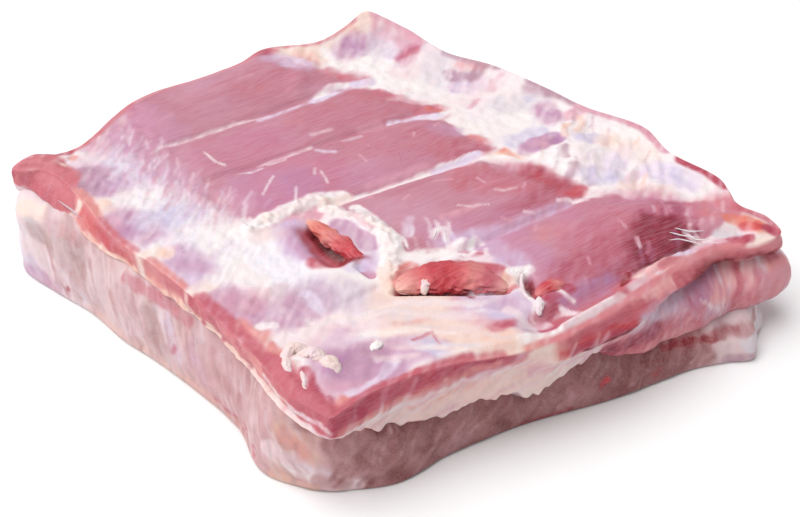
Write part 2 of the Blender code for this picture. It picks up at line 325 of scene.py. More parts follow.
# Signed distance to a closed outline in plan, positive inside
def inside(x, y, corners):
    corners = list(corners)
    found = np.zeros(x.shape, bool)
    for (x0, y0), (x1, y1) in zip(corners, corners[1:] + corners[:1]):
        if y0 != y1:
            found ^= ((y0 > y) != (y1 > y)) & (x < (x1 - x0) * (y - y0) / (y1 - y0) + x0)
    return np.where(found, 1, -1) * nearPath(x, y, corners + [corners[0]])


def panelShare(x, y):
    edge = np.interp(y, *zip(*topForm["panelRight"]))
    return smooth(np.minimum(x - topForm["panelLeft"], edge - x) / topForm["panelFade"])


def topRelief(x, y):
    share = panelShare(x, y)
    tilted = x / topForm["seamRun"]
    gap = np.min([np.abs(y - (line + tilt * tilted)) for line, tilt in topForm["seams"]], axis=0)
    height = share * (topForm["crown"] * smooth(gap / topForm["panelHalf"])
                      - topForm["seamDepth"] * mound(gap, topForm["seamWidth"] / 2))
    level = 0 * x
    amount, length = topForm["ridgeWobble"]
    wobble = [amount * noiseAt(x, y, level, length, seed) for seed in (71.0, 77.0)]
    crumbs = noiseAt(x, y, level, topForm["ridgeCrumb"], seed=83.0)
    ridge = mound(nearPath(x + wobble[0], y + wobble[1], topForm["ridge"]), topForm["ridgeWidth"])
    height = height + ridge * (topForm["ridgeHeight"] + 2 * topForm["ridgeLumps"] * crumbs)
    for group in ("hollows", "lumps", "trough"):
        for width, rise, *path in topForm[group]:
            height = height + rise * mound(nearPath(x, y, path), width)
    for rise, length, slant, region in (topForm["wrinkles"], topForm["streaks"]):
        lines = np.abs(streakAt(x, y, length, slant, seed=9.0, stretch=topForm["foldStretch"]))
        region = smooth(0.4 + inside(x, y, region) / topForm["foldFade"])
        height = height + rise * (1 - topForm["foldSharpness"] * lines) * region
    amount, length = topForm["fatLumps"]
    height = height + amount * 2 * noiseAt(x, y, level, length, seed=5.0) * (1 - share)
    amount, length = topForm["wave"]
    return height + amount * noiseAt(x, y, level, length)


# Flesh colours under even light, and how lean each is: 1 lean fibres, 0 crumbly fat. Some also stand in for
# light:
# "shade" and "darkRed" are painted shade in hollows, slots and gaps; "crimson" and the browns are partly
# painted shade, on the front band, under the lip and on the front of the slab; "lobeWarm" is also a painted
# highlight along the lip.
flesh = {
    "white": (252, 244, 243, 0.0), "snow": (247, 242, 249, 0.1), "cream": (250, 226, 215, 0.0),
    "peach": (247, 202, 184, 0.1), "pinkWhite": (244, 223, 227, 0.2), "greyWhite": (226, 216, 222, 0.1),
    "lilacWhite": (233, 217, 236, 0.3), "lilac": (216, 188, 216, 0.4), "greyLilac": (204, 180, 200, 0.4),
    "blueLilac": (213, 204, 228, 0.2), "mauve": (203, 155, 184, 0.5), "violet": (188, 136, 176, 0.6),
    "greyMauve": (186, 146, 162, 0.5), "rosy": (224, 164, 180, 0.6), "salmon": (234, 146, 138, 0.7),
    "orange": (232, 124, 104, 0.7), "muscle": (195, 127, 144, 1.0), "muscleLight": (208, 152, 172, 0.9),
    "muscleViolet": (203, 140, 172, 0.9), "muscleMagenta": (202, 122, 150, 1.0),
    "muscleRed": (198, 108, 122, 1.0), "muscleDeep": (176, 76, 95, 1.0), "wine": (140, 32, 56, 1.0),
    "bandRed": (212, 118, 126, 0.6), "bandSalmon": (226, 148, 144, 0.5), "rose": (200, 98, 112, 0.7),
    "red": (203, 58, 66, 0.8), "crimson": (182, 66, 88, 1.0), "darkRed": (140, 26, 36, 0.8),
    "shade": (92, 14, 22, 0.5), "peachFat": (232, 186, 168, 0.4), "duskyLight": (231, 205, 206, 0.6),
    "duskyRose": (214, 170, 173, 0.8), "brownPink": (186, 134, 135, 0.9), "brown": (168, 112, 112, 0.9),
    "brownDark": (141, 80, 79, 0.9), "greyBrown": (190, 160, 158, 0.6), "lipPink": (226, 140, 146, 0.5),
    "lobePink": (226, 152, 160, 0.6), "lobeLilac": (216, 184, 204, 0.4), "lobeRose": (206, 106, 118, 0.8),
    "lobeMauve": (196, 128, 158, 0.6), "lobeWarm": (246, 182, 182, 0.4),
}

# Closed outlines of the rib muscles
musclePanels = (
    ((-60, 127), (-45, 136), (24, 139), (28, 128), (33, 118), (38, 111), (45, 102), (51, 87), (43, 85),
     (49, 78), (53, 73), (50, 66), (55, 61), (61, 53), (68, 48), (62, 42), (50, 48), (61, 35), (61, 22),
     (65, 16), (63, 3), (50, 7), (20, 7), (0, 9), (-12, 12), (-20, 20), (-40, 20), (-52, 20), (-66, 28),
     (-68, 45), (-70, 60), (-74, 75), (-74, 98), (-66, 118)),
    ((-18, 9), (-8, 9), (20, 5), (46, 1), (54, -8), (58, -14), (64, -19), (70, -24), (73, -38), (77, -44),
     (72, -50), (82, -55), (88, -63), (98, -68), (105, -78), (112, -82), (125, -87), (122, -100),
     (104, -103), (60, -106), (25, -110), (0, -112), (10, -100), (13, -82), (12, -66), (9, -56), (2, -48),
     (-8, -44), (-16, -38), (-12, -28), (-12, -8), (-20, 0)),
)

# Strokes on top: flesh, half width, softness, strength, points. Later strokes lie over earlier ones.
topPaint = {
    "panels": (
        ("muscleLight", 10, 14, 0.5, (-56, 40), (-58, 110)),
        ("muscleViolet", 8, 12, 0.5, (-58, 104), (-60, 118)),
        ("muscleRed", 6, 12, 0.35, (0, 118), (30, 112)), ("muscleRed", 3, 6, 0.5, (42, 102), (50, 90)),
        ("rose", 1.5, 3, 0.6, (44, 99), (50, 89)), ("muscleLight", 5, 8, 0.5, (-30, 126), (14, 127)),
        ("rose", 2.5, 3, 0.55, (-44, 134), (22, 137)), ("crimson", 2, 3, 0.6, (22, 135), (26, 133)),
        ("lilac", 3, 5, 0.6, (23, 127), (34, 114)), ("lilacWhite", 2, 4, 0.5, (27, 124), (33, 117)),
        ("muscleMagenta", 9, 12, 0.45, (-40, 72), (-16, 66)), ("muscleRed", 7, 12, 0.4, (10, 74), (40, 66)),
        ("muscleMagenta", 5, 8, 0.5, (-22, 62), (-20, 78)), ("rose", 2, 3, 0.6, (50, 75), (53, 71)),
        ("muscleRed", 2.5, 5, 0.5, (40, 82), (52, 68), (58, 54)),
        ("orange", 0.8, 2.2, 0.8, (61, 49), (64, 46)), ("rose", 2, 3, 0.5, (56, 48), (66, 47)),
        ("muscleRed", 8, 12, 0.4, (20, 40), (45, 24)), ("muscleMagenta", 12, 10, 0.7, (-34, 34), (-14, 34)),
        ("violet", 5, 8, 0.45, (-24, 36), (-24, 30)), ("muscleViolet", 7, 10, 0.5, (-44, 30), (-40, 44)),
        ("muscleViolet", 5, 9, 0.4, (0, 20), (26, 16)), ("muscleRed", 4, 6, 0.5, (44, 14), (60, 12)),
        ("muscleDeep", 1.8, 4, 0.6, (50, 8), (61, 5)), ("salmon", 1.2, 3, 0.5, (63, 17), (64, 12)),
        ("mauve", 2, 4, 0.5, (52, 33), (60, 24)), ("muscleRed", 8, 10, 0.8, (42, -10), (60, -24)),
        ("muscleDeep", 3, 6, 0.75, (66, -24), (70, -36)), ("red", 1.5, 4, 0.35, (66, -26), (68, -38)),
        ("muscleDeep", 3, 8, 0.6, (40, -42), (68, -42)), ("rose", 2.5, 3, 0.8, (68, -44), (75, -45)),
        ("red", 1.2, 2.5, 0.5, (70, -46), (74, -44)), ("muscleLight", 6, 10, 0.5, (-12, 2), (6, -30)),
        ("muscleViolet", 6, 10, 0.5, (6, -36), (34, -48)),
        ("muscleViolet", 6, 9, 0.5, (18, -52), (26, -80)), ("lilac", 3, 7, 0.7, (15, -48), (17, -74)),
        ("salmon", 3, 6, 0.3, (40, -62), (48, -64)), ("muscleMagenta", 9, 12, 0.5, (60, -66), (92, -74)),
        ("muscleRed", 8, 12, 0.5, (50, -82), (74, -80)), ("muscleDeep", 8, 12, 0.6, (34, -94), (70, -94)),
        ("wine", 9, 10, 1, (74, -98), (92, -87)), ("wine", 3, 6, 0.6, (86, -82), (94, -84)),
        ("rosy", 6, 8, 0.55, (106, -92), (120, -90)), ("bandRed", 5, 7, 0.6, (112, -90), (121, -94)),
        ("violet", 2.5, 5, 0.6, (18, -98), (44, -104)), ("muscleDeep", 3, 5, 0.7, (8, -107), (42, -108)),
        ("crimson", 2, 3, 0.6, (2, -112), (12, -113)),
        ("muscleMagenta", 2.5, 5, 0.6, (90, -76), (104, -84)),
    ),
    "leftFat": (
        ("lilacWhite", 10, 14, 0.55, (-88, 88), (-86, 40)),
        ("blueLilac", 6, 12, 0.45, (-84, 84), (-80, 40)), ("white", 7, 10, 0.9, (-84, 66), (-96, 64)),
        ("cream", 2.5, 4, 0.8, (-106, 80), (-104, 66)), ("peach", 1.5, 4, 0.35, (-102, 68)),
        ("mauve", 7, 9, 0.95, (-101, 92), (-94, 84)), ("greyMauve", 4, 8, 0.4, (-99, 92), (-95, 86)),
        ("greyMauve", 2.5, 5, 0.5, (-103, 88), (-102, 82)), ("violet", 2, 5, 0.35, (-95, 87)),
        ("lilac", 4, 8, 0.5, (-84, 80), (-80, 78)), ("lilac", 3, 8, 0.6, (-70, 82), (-64, 62)),
        ("mauve", 6, 8, 0.75, (-102, 54), (-98, 42)), ("rosy", 2.5, 4, 0.5, (-106, 56), (-106, 50)),
        ("violet", 2.5, 5, 0.6, (-104, 46), (-98, 43)), ("blueLilac", 3.5, 8, 0.7, (-92, 46), (-76, 43)),
        ("mauve", 5, 8, 0.6, (-82, 112), (-74, 100)), ("rosy", 3, 5, 0.5, (-84, 106), (-78, 114)),
        ("pinkWhite", 3, 5, 0.7, (-100, 106), (-88, 101)), ("orange", 1.2, 2.5, 0.5, (-96, 108)),
        ("rose", 1.5, 2.5, 0.6, (-82, 118), (-72, 120)), ("cream", 2, 3, 0.8, (-68, 119), (-60, 125)),
        ("crimson", 1.5, 3, 0.6, (-58, 124), (-54, 130)), ("mauve", 5, 7, 0.7, (-95, 16), (-91, 8)),
        ("lilac", 7, 10, 0.6, (-96, 8), (-80, 10)), ("blueLilac", 4, 8, 0.4, (-84, 14), (-76, 0)),
        ("mauve", 4, 7, 0.5, (-94, 13), (-90, 8)), ("lilac", 3, 4, 0.6, (-104, 2), (-98, -1)),
        ("cream", 2, 4, 0.8, (-104, 26), (-98, 22)), ("peach", 1.2, 3, 0.5, (-99, 22)),
        ("cream", 2, 4, 0.8, (-104, -8), (-96, -8)), ("white", 9, 9, 0.9, (-72, 24), (-72, 0)),
        ("snow", 6, 8, 0.7, (-64, -4), (-62, -26)), ("mauve", 6, 7, 0.9, (-95, -20), (-91, -32)),
        ("rosy", 4, 6, 0.4, (-90, -22), (-84, -26)), ("pinkWhite", 1.2, 2, 0.5, (-93, -28)),
        ("salmon", 2.5, 4, 0.7, (-99, -37), (-95, -47)), ("greyMauve", 4, 7, 0.45, (-74, -32), (-69, -42)),
        ("mauve", 7, 8, 0.6, (-82, -42), (-66, -42)), ("muscleLight", 4, 6, 0.7, (-94, -20), (-89, -28)),
        ("mauve", 3, 6, 0.3, (-80, -46), (-70, -48)), ("greyLilac", 6, 8, 0.5, (-60, -38), (-48, -54)),
        ("lilacWhite", 1.5, 3, 0.8, (-66, -36), (-66, -48)), ("white", 2, 2, 0.8, (-91, -43), (-88, -46)),
        ("pinkWhite", 4, 6, 0.6, (-88, -58), (-60, -62)), ("white", 1.2, 1.5, 0.7, (-74, -52)),
        ("rosy", 4, 6, 0.35, (-82, -70), (-70, -66)), ("lilac", 4, 6, 0.4, (-80, -72), (-70, -68)),
    ),
    "frontFat": (
        ("cream", 12, 10, 0.8, (-34, -66), (-28, -104)), ("cream", 6, 8, 0.8, (-46, -76), (-10, -112)),
        ("peachFat", 12, 12, 0.25, (-34, -68), (-22, -98)), ("peach", 3, 7, 0.5, (-22, -108), (-8, -114)),
        ("mauve", 9, 8, 0.85, (-80, -84), (-68, -88)), ("greyMauve", 6, 7, 0.6, (-76, -84), (-68, -87)),
        ("violet", 5, 7, 0.8, (-78, -84), (-70, -88)), ("greyMauve", 3, 5, 0.5, (-74, -86), (-68, -84)),
        ("mauve", 5, 7, 0.7, (-84, -94), (-58, -90)), ("rosy", 3, 6, 0.5, (-92, -92), (-80, -98)),
        ("lilacWhite", 1, 2, 0.7, (-86, -97), (-70, -97), (-58, -90)),
        ("white", 1.3, 1.5, 0.4, (-66, -87), (-60, -92)), ("mauve", 4, 6, 0.6, (-54, -88), (-44, -96)),
        ("blueLilac", 2.5, 4, 0.8, (-46, -90), (-43, -97)), ("rose", 0.4, 1.1, 0.7, (-47, -87), (-40, -87)),
        ("rose", 0.3, 0.9, 0.6, (-40, -88), (-41, -95)), ("rosy", 4, 6, 0.6, (-18, -80), (-16, -96)),
        ("lilac", 7, 8, 0.75, (-8, -82), (-2, -98)), ("blueLilac", 2.5, 4, 0.5, (-10, -90), (-8, -94)),
        ("mauve", 2, 4, 0.4, (-10, -84), (-2, -92)), ("rose", 1.4, 3.5, 0.6, (-17, -99), (-9, -101)),
        ("crimson", 0.8, 2.4, 0.5, (-14, -100), (-9, -102)),
        ("greyLilac", 3, 5, 0.6, (-4, -104), (-6, -112)), ("pinkWhite", 1.2, 2, 0.8, (-4, -94), (-3, -106)),
        ("white", 1, 2, 0.5, (-40, -64), (-12, -84)), ("pinkWhite", 1.2, 2.5, 0.6, (-46, -68), (-20, -88)),
        ("salmon", 0.8, 2, 0.4, (-48, -74), (-36, -80)), ("rosy", 2, 4, 0.3, (-62, -66), (-52, -70)),
        ("greyWhite", 2, 4, 0.4, (-58, -62), (-40, -72)),
    ),
    "rightFat": (
        ("white", 9, 9, 0.9, (50, 116), (60, 92)), ("cream", 3, 5, 0.9, (30, 131), (42, 124)),
        ("peach", 2, 4, 0.4, (38, 124), (44, 116)), ("orange", 1, 2.5, 0.25, (41, 118)),
        ("cream", 3, 5, 0.7, (50, 126), (66, 124)), ("mauve", 4, 6, 0.8, (59, 114), (69, 116)),
        ("violet", 2.5, 4, 0.6, (61, 114), (65, 112)), ("peach", 4, 6, 0.55, (70, 128), (86, 126)),
        ("cream", 3, 5, 0.6, (76, 124), (86, 122)), ("red", 1.2, 2, 0.7, (83, 134), (90, 138)),
        ("greyLilac", 5, 7, 0.6, (77, 108), (84, 100)), ("rosy", 4, 6, 0.6, (84, 116), (86, 104)),
        ("lilacWhite", 2, 4, 0.6, (76, 98), (78, 106)), ("muscleMagenta", 2.5, 4, 0.95, (78, 91), (86, 95)),
        ("crimson", 1.2, 3, 0.5, (82, 94), (86, 93)), ("rosy", 2, 4, 0.8, (92, 96), (92, 106)),
        ("pinkWhite", 5, 6, 0.7, (72, 84), (92, 84)), ("greyWhite", 5, 7, 0.7, (82, 70), (88, 78)),
        ("greyMauve", 2.5, 4, 0.7, (88, 67), (91, 63)), ("violet", 1.5, 4, 0.3, (88, 66)),
        ("lilac", 3.5, 5, 0.8, (85, 56), (92, 53)), ("greyMauve", 2.5, 3.5, 0.9, (95, 58), (101, 60)),
        ("bandRed", 2, 4, 0.5, (98, 69), (105, 62)), ("pinkWhite", 4, 5, 0.6, (80, 46), (104, 50)),
        ("rosy", 0.8, 2, 0.5, (78, 39), (85, 41)), ("rosy", 0.8, 2, 0.4, (93, 45), (104, 50)),
        ("greyWhite", 5, 7, 0.7, (94, 30), (106, 24)), ("blueLilac", 1.5, 3, 0.6, (104, 27)),
        ("greyMauve", 2, 4, 0.6, (110, 32), (117, 14)), ("mauve", 3.5, 4.5, 0.8, (104, 15), (101, 7)),
        ("violet", 2, 3, 0.4, (105, 10)), ("rosy", 1.8, 3, 0.8, (109, 3), (118, 3)),
        ("rosy", 3, 4, 0.6, (120, 8), (128, -6)), ("orange", 1.2, 3, 0.6, (66, -1), (67, -5)),
        ("peach", 2, 4, 0.7, (60, -2), (68, -9)), ("greyMauve", 2, 4, 0.7, (50, -2), (57, -9)),
        ("lilac", 1.5, 4, 0.7, (56, -12), (62, -17)), ("blueLilac", 3.5, 5, 0.7, (76, 2), (88, 1)),
        ("violet", 3.5, 2.5, 0.95, (80, -7), (92, -6)), ("mauve", 2.5, 3, 0.7, (75, -8), (80, -5)),
        ("muscleLight", 2, 3, 0.5, (84, -8), (88, -5)), ("peach", 0.7, 1.6, 0.7, (97, -8), (104, -2)),
        ("peach", 0.7, 1.6, 0.6, (104, -10), (112, 0)), ("white", 5, 5, 0.9, (74, -17), (82, -22)),
        ("white", 2, 2, 0.95, (44, 5), (56, 3), (62, -6), (68, -14), (74, -22), (77, -34)),
        ("blueLilac", 2, 3, 0.7, (102, -14), (108, -18)), ("greyMauve", 0.8, 2, 0.6, (86, -22), (90, -15)),
        ("greyMauve", 1.2, 2.5, 0.6, (78, -34), (84, -30)),
        ("greyMauve", 1.2, 2.5, 0.6, (82, -44), (90, -36)), ("blueLilac", 4, 6, 0.75, (88, -40), (94, -44)),
        ("lilacWhite", 3, 5, 0.6, (98, -40), (110, -34)), ("peach", 1.5, 4, 0.35, (108, -20), (116, -30)),
        ("cream", 4, 6, 0.5, (112, -24), (116, -44)), ("rosy", 1, 3, 0.4, (96, -53), (106, -50)),
        ("lilacWhite", 4, 6, 0.8, (112, -54), (118, -68)), ("blueLilac", 2, 4, 0.5, (117, -60), (116, -66)),
        ("cream", 3, 4, 0.6, (92, -56), (104, -68)),
    ),
    "seams": (
        ("pinkWhite", 0.5, 1.3, 0.7, (-60, 93), (-20, 92.5), (-12, 90)),
        ("pinkWhite", 0.6, 1.4, 0.7, (-15, 91), (-5, 88)),
        ("lilacWhite", 0.7, 1.6, 0.7, (-10, 87), (22, 86.5)),
        ("lilacWhite", 2.2, 3, 0.9, (22, 87), (38, 89), (52, 86)),
        ("white", 1, 2, 0.8, (24, 89), (35, 93), (42, 90)), ("greyMauve", 1.2, 2, 0.7, (37, 88)),
        ("pinkWhite", 0.5, 1.2, 0.5, (3, 62), (13, 60)),
        ("pinkWhite", 0.4, 1.2, 0.6, (-30, 56), (-2, 54.5)),
        ("white", 0.25, 0.8, 0.7, (-40, 56), (-36, 52), (-30, 52)),
        ("white", 0.4, 1, 0.7, (-26, 53), (-18, 52)),
        ("lilacWhite", 0.6, 1.4, 0.7, (-2, 50), (0, 46), (3, 43.5)),
        ("lilacWhite", 0.7, 1.8, 0.5, (13, 49), (20, 48)), ("rosy", 1, 3, 0.5, (25, 53), (35, 53)),
        ("lilacWhite", 1.2, 2.2, 0.9, (40, 50), (50, 47), (61, 41)),
        ("white", 0.9, 1.2, 0.95, (-12, 10), (0, 8.5), (10, 7), (30, 5.5), (55, 6)),
        ("lilacWhite", 1.4, 1.5, 0.9, (32, 5), (44, 4.5), (57, 5)), ("rosy", 1, 4, 0.5, (0, 12), (30, 10)),
        ("lilac", 1.2, 5, 0.6, (0, -40), (30, -48), (62, -49)),
        ("rosy", 0.8, 2.5, 0.6, (12, -27), (30, -29)),
        ("pinkWhite", 0.2, 0.9, 0.7, (23, -24), (27, -28), (34, -31)),
        ("pinkWhite", 0.6, 1, 0.8, (62, -46), (66, -48)),
        ("pinkWhite", 0.9, 1.2, 0.9, (67, -50), (72, -52), (80, -51)),
        ("pinkWhite", 0.3, 1, 0.6, (44, -44), (47, -47)),
        ("white", 0.25, 0.8, 0.8, (-46, 77), (-45, 68), (-43, 64)),
        ("white", 0.25, 0.8, 0.6, (-30, 43), (-42, 33)), ("white", 0.25, 0.8, 0.6, (-27, 29), (-34, 20)),
        ("white", 0.25, 0.8, 0.6, (-12, 37), (-15, 33)), ("white", 0.25, 0.8, 0.6, (-11, 33), (-14, 24)),
        ("rosy", 0.25, 0.8, 0.8, (10, 34), (10, 28)), ("rosy", 0.25, 0.8, 0.9, (18, 38)),
        ("rosy", 0.25, 0.8, 0.9, (40, 33), (42, 35)), ("rosy", 0.25, 0.8, 0.8, (53, 34), (57, 36)),
        ("rosy", 0.25, 0.8, 0.9, (-6, 6), (-3, 5)), ("rosy", 0.25, 0.8, 0.9, (6, -6), (10, -5)),
        ("rosy", 0.25, 0.8, 0.8, (26, -2), (33, -6)), ("rosy", 0.25, 0.8, 0.9, (43, -12), (43, -17)),
        ("pinkWhite", 0.3, 1, 0.6, (43, -24), (46, -27), (52, -28)),
        ("rosy", 0.25, 0.8, 0.8, (54, -30), (57, -28)), ("rosy", 0.25, 0.8, 0.8, (33, -42), (35, -45)),
        ("rosy", 0.25, 0.8, 0.6, (38, -58), (42, -55)), ("pinkWhite", 0.5, 1, 0.7, (67, -94), (70, -88)),
        ("rosy", 0.25, 0.8, 0.7, (71, -80), (72, -74)), ("rosy", 0.25, 0.8, 0.6, (42, -90), (44, -86)),
        ("rosy", 0.25, 0.8, 0.6, (-50, 110), (-42, 112)), ("rosy", 0.25, 0.8, 0.6, (0, 120), (8, 120)),
    ),
    # In the slits, the darkRed and shade strokes are painted shade in the hollows beside and under the
    # rolls.
    "slits": (
        ("pinkWhite", 3, 3, 0.8, (-58, 8), (-52, 14)), ("peach", 0.8, 1.5, 0.5, (-50, 10), (-44, 13)),
        ("rosy", 3, 4, 0.9, (-42, 11), (-30, 9)), ("lilac", 6, 5, 0.9, (-46, 4), (-50, -10)),
        ("mauve", 4, 5, 0.8, (-46, 0), (-48, -14)), ("rose", 3.4, 4, 0.9, (-41, -2), (-43, -20)),
        ("rose", 2.6, 3, 0.9, (-51, -22), (-43, -27)),
        ("darkRed", 1.6, 3, 0.85, (-38, 0), (-39, -12), (-39, -24)),
        ("shade", 1.8, 2.6, 0.95, (-37, -2), (-37.5, -16), (-36, -28)),
        ("darkRed", 1.6, 2.4, 0.9, (-38, -26), (-33, -32)), ("darkRed", 1.5, 2, 0.8, (-38, -4), (-36, -4)),
        ("lilacWhite", 3, 3, 0.8, (-40, -33), (-34, -37)), ("blueLilac", 1.5, 2, 0.7, (-37, -35)),
        ("crimson", 1, 1.4, 0.9, (-37, -38), (-35, -41)), ("mauve", 4, 4, 0.8, (-27, -6), (-25, -24)),
        ("lilac", 3, 4, 0.6, (-30, -34), (-33, -38)),
        ("white", 3, 2, 0.95, (-64, 15), (-52, 17), (-38, 18), (-24, 18), (-14, 14)),
        ("cream", 2, 2.5, 0.7, (-22, 12), (-12, 11)), ("cream", 2, 5, 0.4, (-60, 8), (-52, 5)),
        ("white", 2.4, 1.6, 0.95, (-25, 10), (-23, 2), (-19, -6)),
        ("white", 2.4, 1.5, 0.95, (-14, 2), (-14, -12), (-14, -23)),
        ("white", 2.2, 1.8, 0.9, (-19, -5), (-17, -22)),
        ("white", 3.4, 2.4, 0.95, (-16, -24), (-20, -33), (-28, -43)),
        ("cream", 3, 2, 0.95, (-30, -44), (-36, -57)), ("peach", 1.5, 3, 0.4, (-33, -48), (-36, -56)),
        ("rosy", 0.8, 1.5, 0.5, (-19, -2), (-18, -16)),
        ("white", 2.2, 2.5, 0.8, (-12, -42), (0, -48), (8, -46)),
        ("pinkWhite", 1, 1.5, 0.8, (15, -46), (16, -50)), ("pinkWhite", 2.5, 3, 0.8, (4, -54), (9, -60)),
        ("cream", 1.2, 3, 0.32, (-52, 17), (-24, 18), (-24, 4), (-16, -8), (-15, -22), (-26, -42)),
        ("white", 1, 1.4, 0.7, (0, -36), (4, -33)), ("white", 0.9, 1.4, 0.7, (4, -41), (7, -34)),
        ("lilacWhite", 1, 2, 0.5, (-9, -28), (0, -20)), ("rosy", 1.6, 1.8, 0.7, (4, -52), (11, -56)),
        ("crimson", 0.5, 1, 0.5, (6, -53), (8, -54)), ("rose", 0.4, 0.9, 0.7, (9, -55), (11, -57)),
        ("white", 0.7, 1.2, 0.95, (-4, -49), (2, -46), (8, -45)),
        ("white", 0.8, 1.2, 0.9, (9, -50), (13, -47)),
        ("white", 0.6, 1.1, 0.9, (2, -51), (5, -54), (9, -53)),
        ("pinkWhite", 0.6, 1.1, 0.9, (7, -59), (11, -59), (14, -55)),
        ("white", 0.3, 0.8, 0.8, (-13, -36), (-11, -29)), ("salmon", 3, 2.5, 0.9, (-30, -54), (-20, -47)),
        ("rose", 6, 3, 0.95, (-24, -56), (-4, -62), (4, -72)), ("red", 5, 4, 0.9, (-16, -60), (-2, -68)),
        ("darkRed", 1.8, 2, 0.95, (-33, -58), (-23, -65), (-14, -71), (-3, -77)),
        ("shade", 1.1, 1.4, 0.95, (-31, -58), (-21, -65), (-8, -74), (2, -79)),
        ("darkRed", 1, 1.4, 0.8, (-11, -76), (-12, -78)), ("snow", 2.5, 2.5, 0.8, (-8, -77), (-1, -80)),
        ("peach", 3, 3, 0.8, (4, -80), (11, -77)), ("rose", 1.2, 1.6, 0.7, (1, -82), (8, -83)),
        ("white", 2, 1.6, 0.95, (12, -75), (19, -78)), ("darkRed", 1.8, 1.4, 0.95, (14, -83), (10, -91)),
        ("shade", 0.9, 1, 0.9, (13, -84), (10, -91)), ("rose", 2.5, 2.5, 0.9, (13, -92), (22, -91)),
        ("white", 1.4, 1.4, 0.9, (12, -80), (9, -90), (8, -97), (2, -103)),
        ("crimson", 2, 2.4, 0.7, (14, -97), (24, -97)),
        ("muscleDeep", 1.8, 2.4, 0.8, (4, -104), (12, -102)),
        ("pinkWhite", 0.7, 1, 0.9, (20, -96), (22, -103)),
        ("pinkWhite", 0.9, 1.2, 0.9, (15, -104), (18, -108)),
        ("pinkWhite", 1.5, 2, 0.6, (-6, -104), (4, -108)),
    ),
    "corner": (
        ("bandRed", 4.5, 4, 0.95, (-108, 112), (-107, 96)), ("rose", 2.5, 4, 0.8, (-109, 106), (-109, 90)),
        ("bandSalmon", 2, 3, 0.8, (-108, 84), (-109, 70)),
        ("cream", 0.8, 1.4, 0.85, (-118, 115), (-110, 110), (-103, 104)),
        ("rose", 4, 5, 0.85, (-101, -98), (-102, -78), (-103, -60)),
        ("crimson", 1.2, 2.4, 0.8, (-93, -77), (-97, -93)),
        ("muscleDeep", 1.5, 3, 0.7, (-104, -50), (-101, -62)),
        ("white", 0.6, 1, 0.8, (-96, -80), (-100, -90)),
        ("bandSalmon", 1.5, 3, 0.8, (-97, -52), (-94, -64)),
        ("salmon", 1.5, 3, 0.9, (-97, -101), (-90, -99)),
        ("crimson", 1.2, 3, 0.6, (-102, -94), (-99, -102)),
    ),
    # The darkRed and shade strokes in the trough behind the lip are painted shade.
    "frontLip": (
        ("muscleRed", 3.5, 3, 0.9, (10, -107), (40, -108)), ("violet", 2, 4, 0.5, (18, -103), (42, -103)),
        ("rose", 2.4, 2.6, 0.9, (2, -104), (8, -110)),
        ("pinkWhite", 1, 1.4, 0.8, (6, -104), (14, -106), (20, -110)),
        ("crimson", 1.2, 2, 0.8, (0, -110), (6, -113)),
        ("pinkWhite", 1.7, 1.5, 0.95, (6, -115), (20, -114), (39, -113.5)),
        ("lobeRose", 3, 3, 0.9, (44, -109), (58, -110)),
        ("darkRed", 0.7, 1.4, 0.85, (46, -107), (52, -102.5)),
        ("cream", 1, 2.6, 0.85, (54, -106.5), (70, -105)),
        ("pinkWhite", 0.8, 3, 0.6, (46, -111.5), (60, -109)),
        # The lobeWarm band along the lip is a painted highlight on its crest.
        ("lobeWarm", 2, 2.4, 0.9, (60, -109.5), (90, -108.5)),
        ("lobeRose", 1, 1.6, 0.6, (66, -107.5), (76, -108)),
        ("pinkWhite", 0.7, 1.2, 0.95, (62, -110.5), (72, -111.5), (84, -110.5)),
        ("lilacWhite", 2.2, 2, 0.95, (75, -104.5), (86, -106)),
        ("pinkWhite", 1.2, 2, 0.8, (90, -103.5), (99, -106)),
        ("rosy", 2.4, 3, 0.7, (90, -109), (104, -110)),
        ("shade", 0.6, 1.6, 0.6, (56, -102.5), (74, -102.5), (92, -101)),
        ("greyWhite", 1.8, 2, 0.9, (103, -104), (111, -108)),
        ("crimson", 1.8, 2.2, 0.85, (105, -111), (112, -113.5)),
        ("orange", 2, 3, 0.8, (114, -100), (119, -106), (120, -113)),
        ("pinkWhite", 0.8, 1.4, 0.8, (108, -104), (115, -109)),
        ("red", 1.2, 2.4, 0.6, (116, -107), (119, -112)), ("salmon", 2, 3, 0.7, (-10, -117), (2, -118)),
        ("white", 1.3, 2, 0.8, (-12, -111), (4, -115)), ("cream", 2.4, 2.4, 0.9, (110, -119), (119, -120)),
        ("crimson", 1.8, 2, 0.95, (122, -114), (125, -120)),
        ("pinkWhite", 0.4, 1, 0.9, (94, -98), (97, -108)),
        ("pinkWhite", 0.4, 1, 0.9, (90, -95), (93, -103)),
        ("lobeRose", 1.5, 2.5, 0.7, (94, -112), (106, -114)),
    ),
}

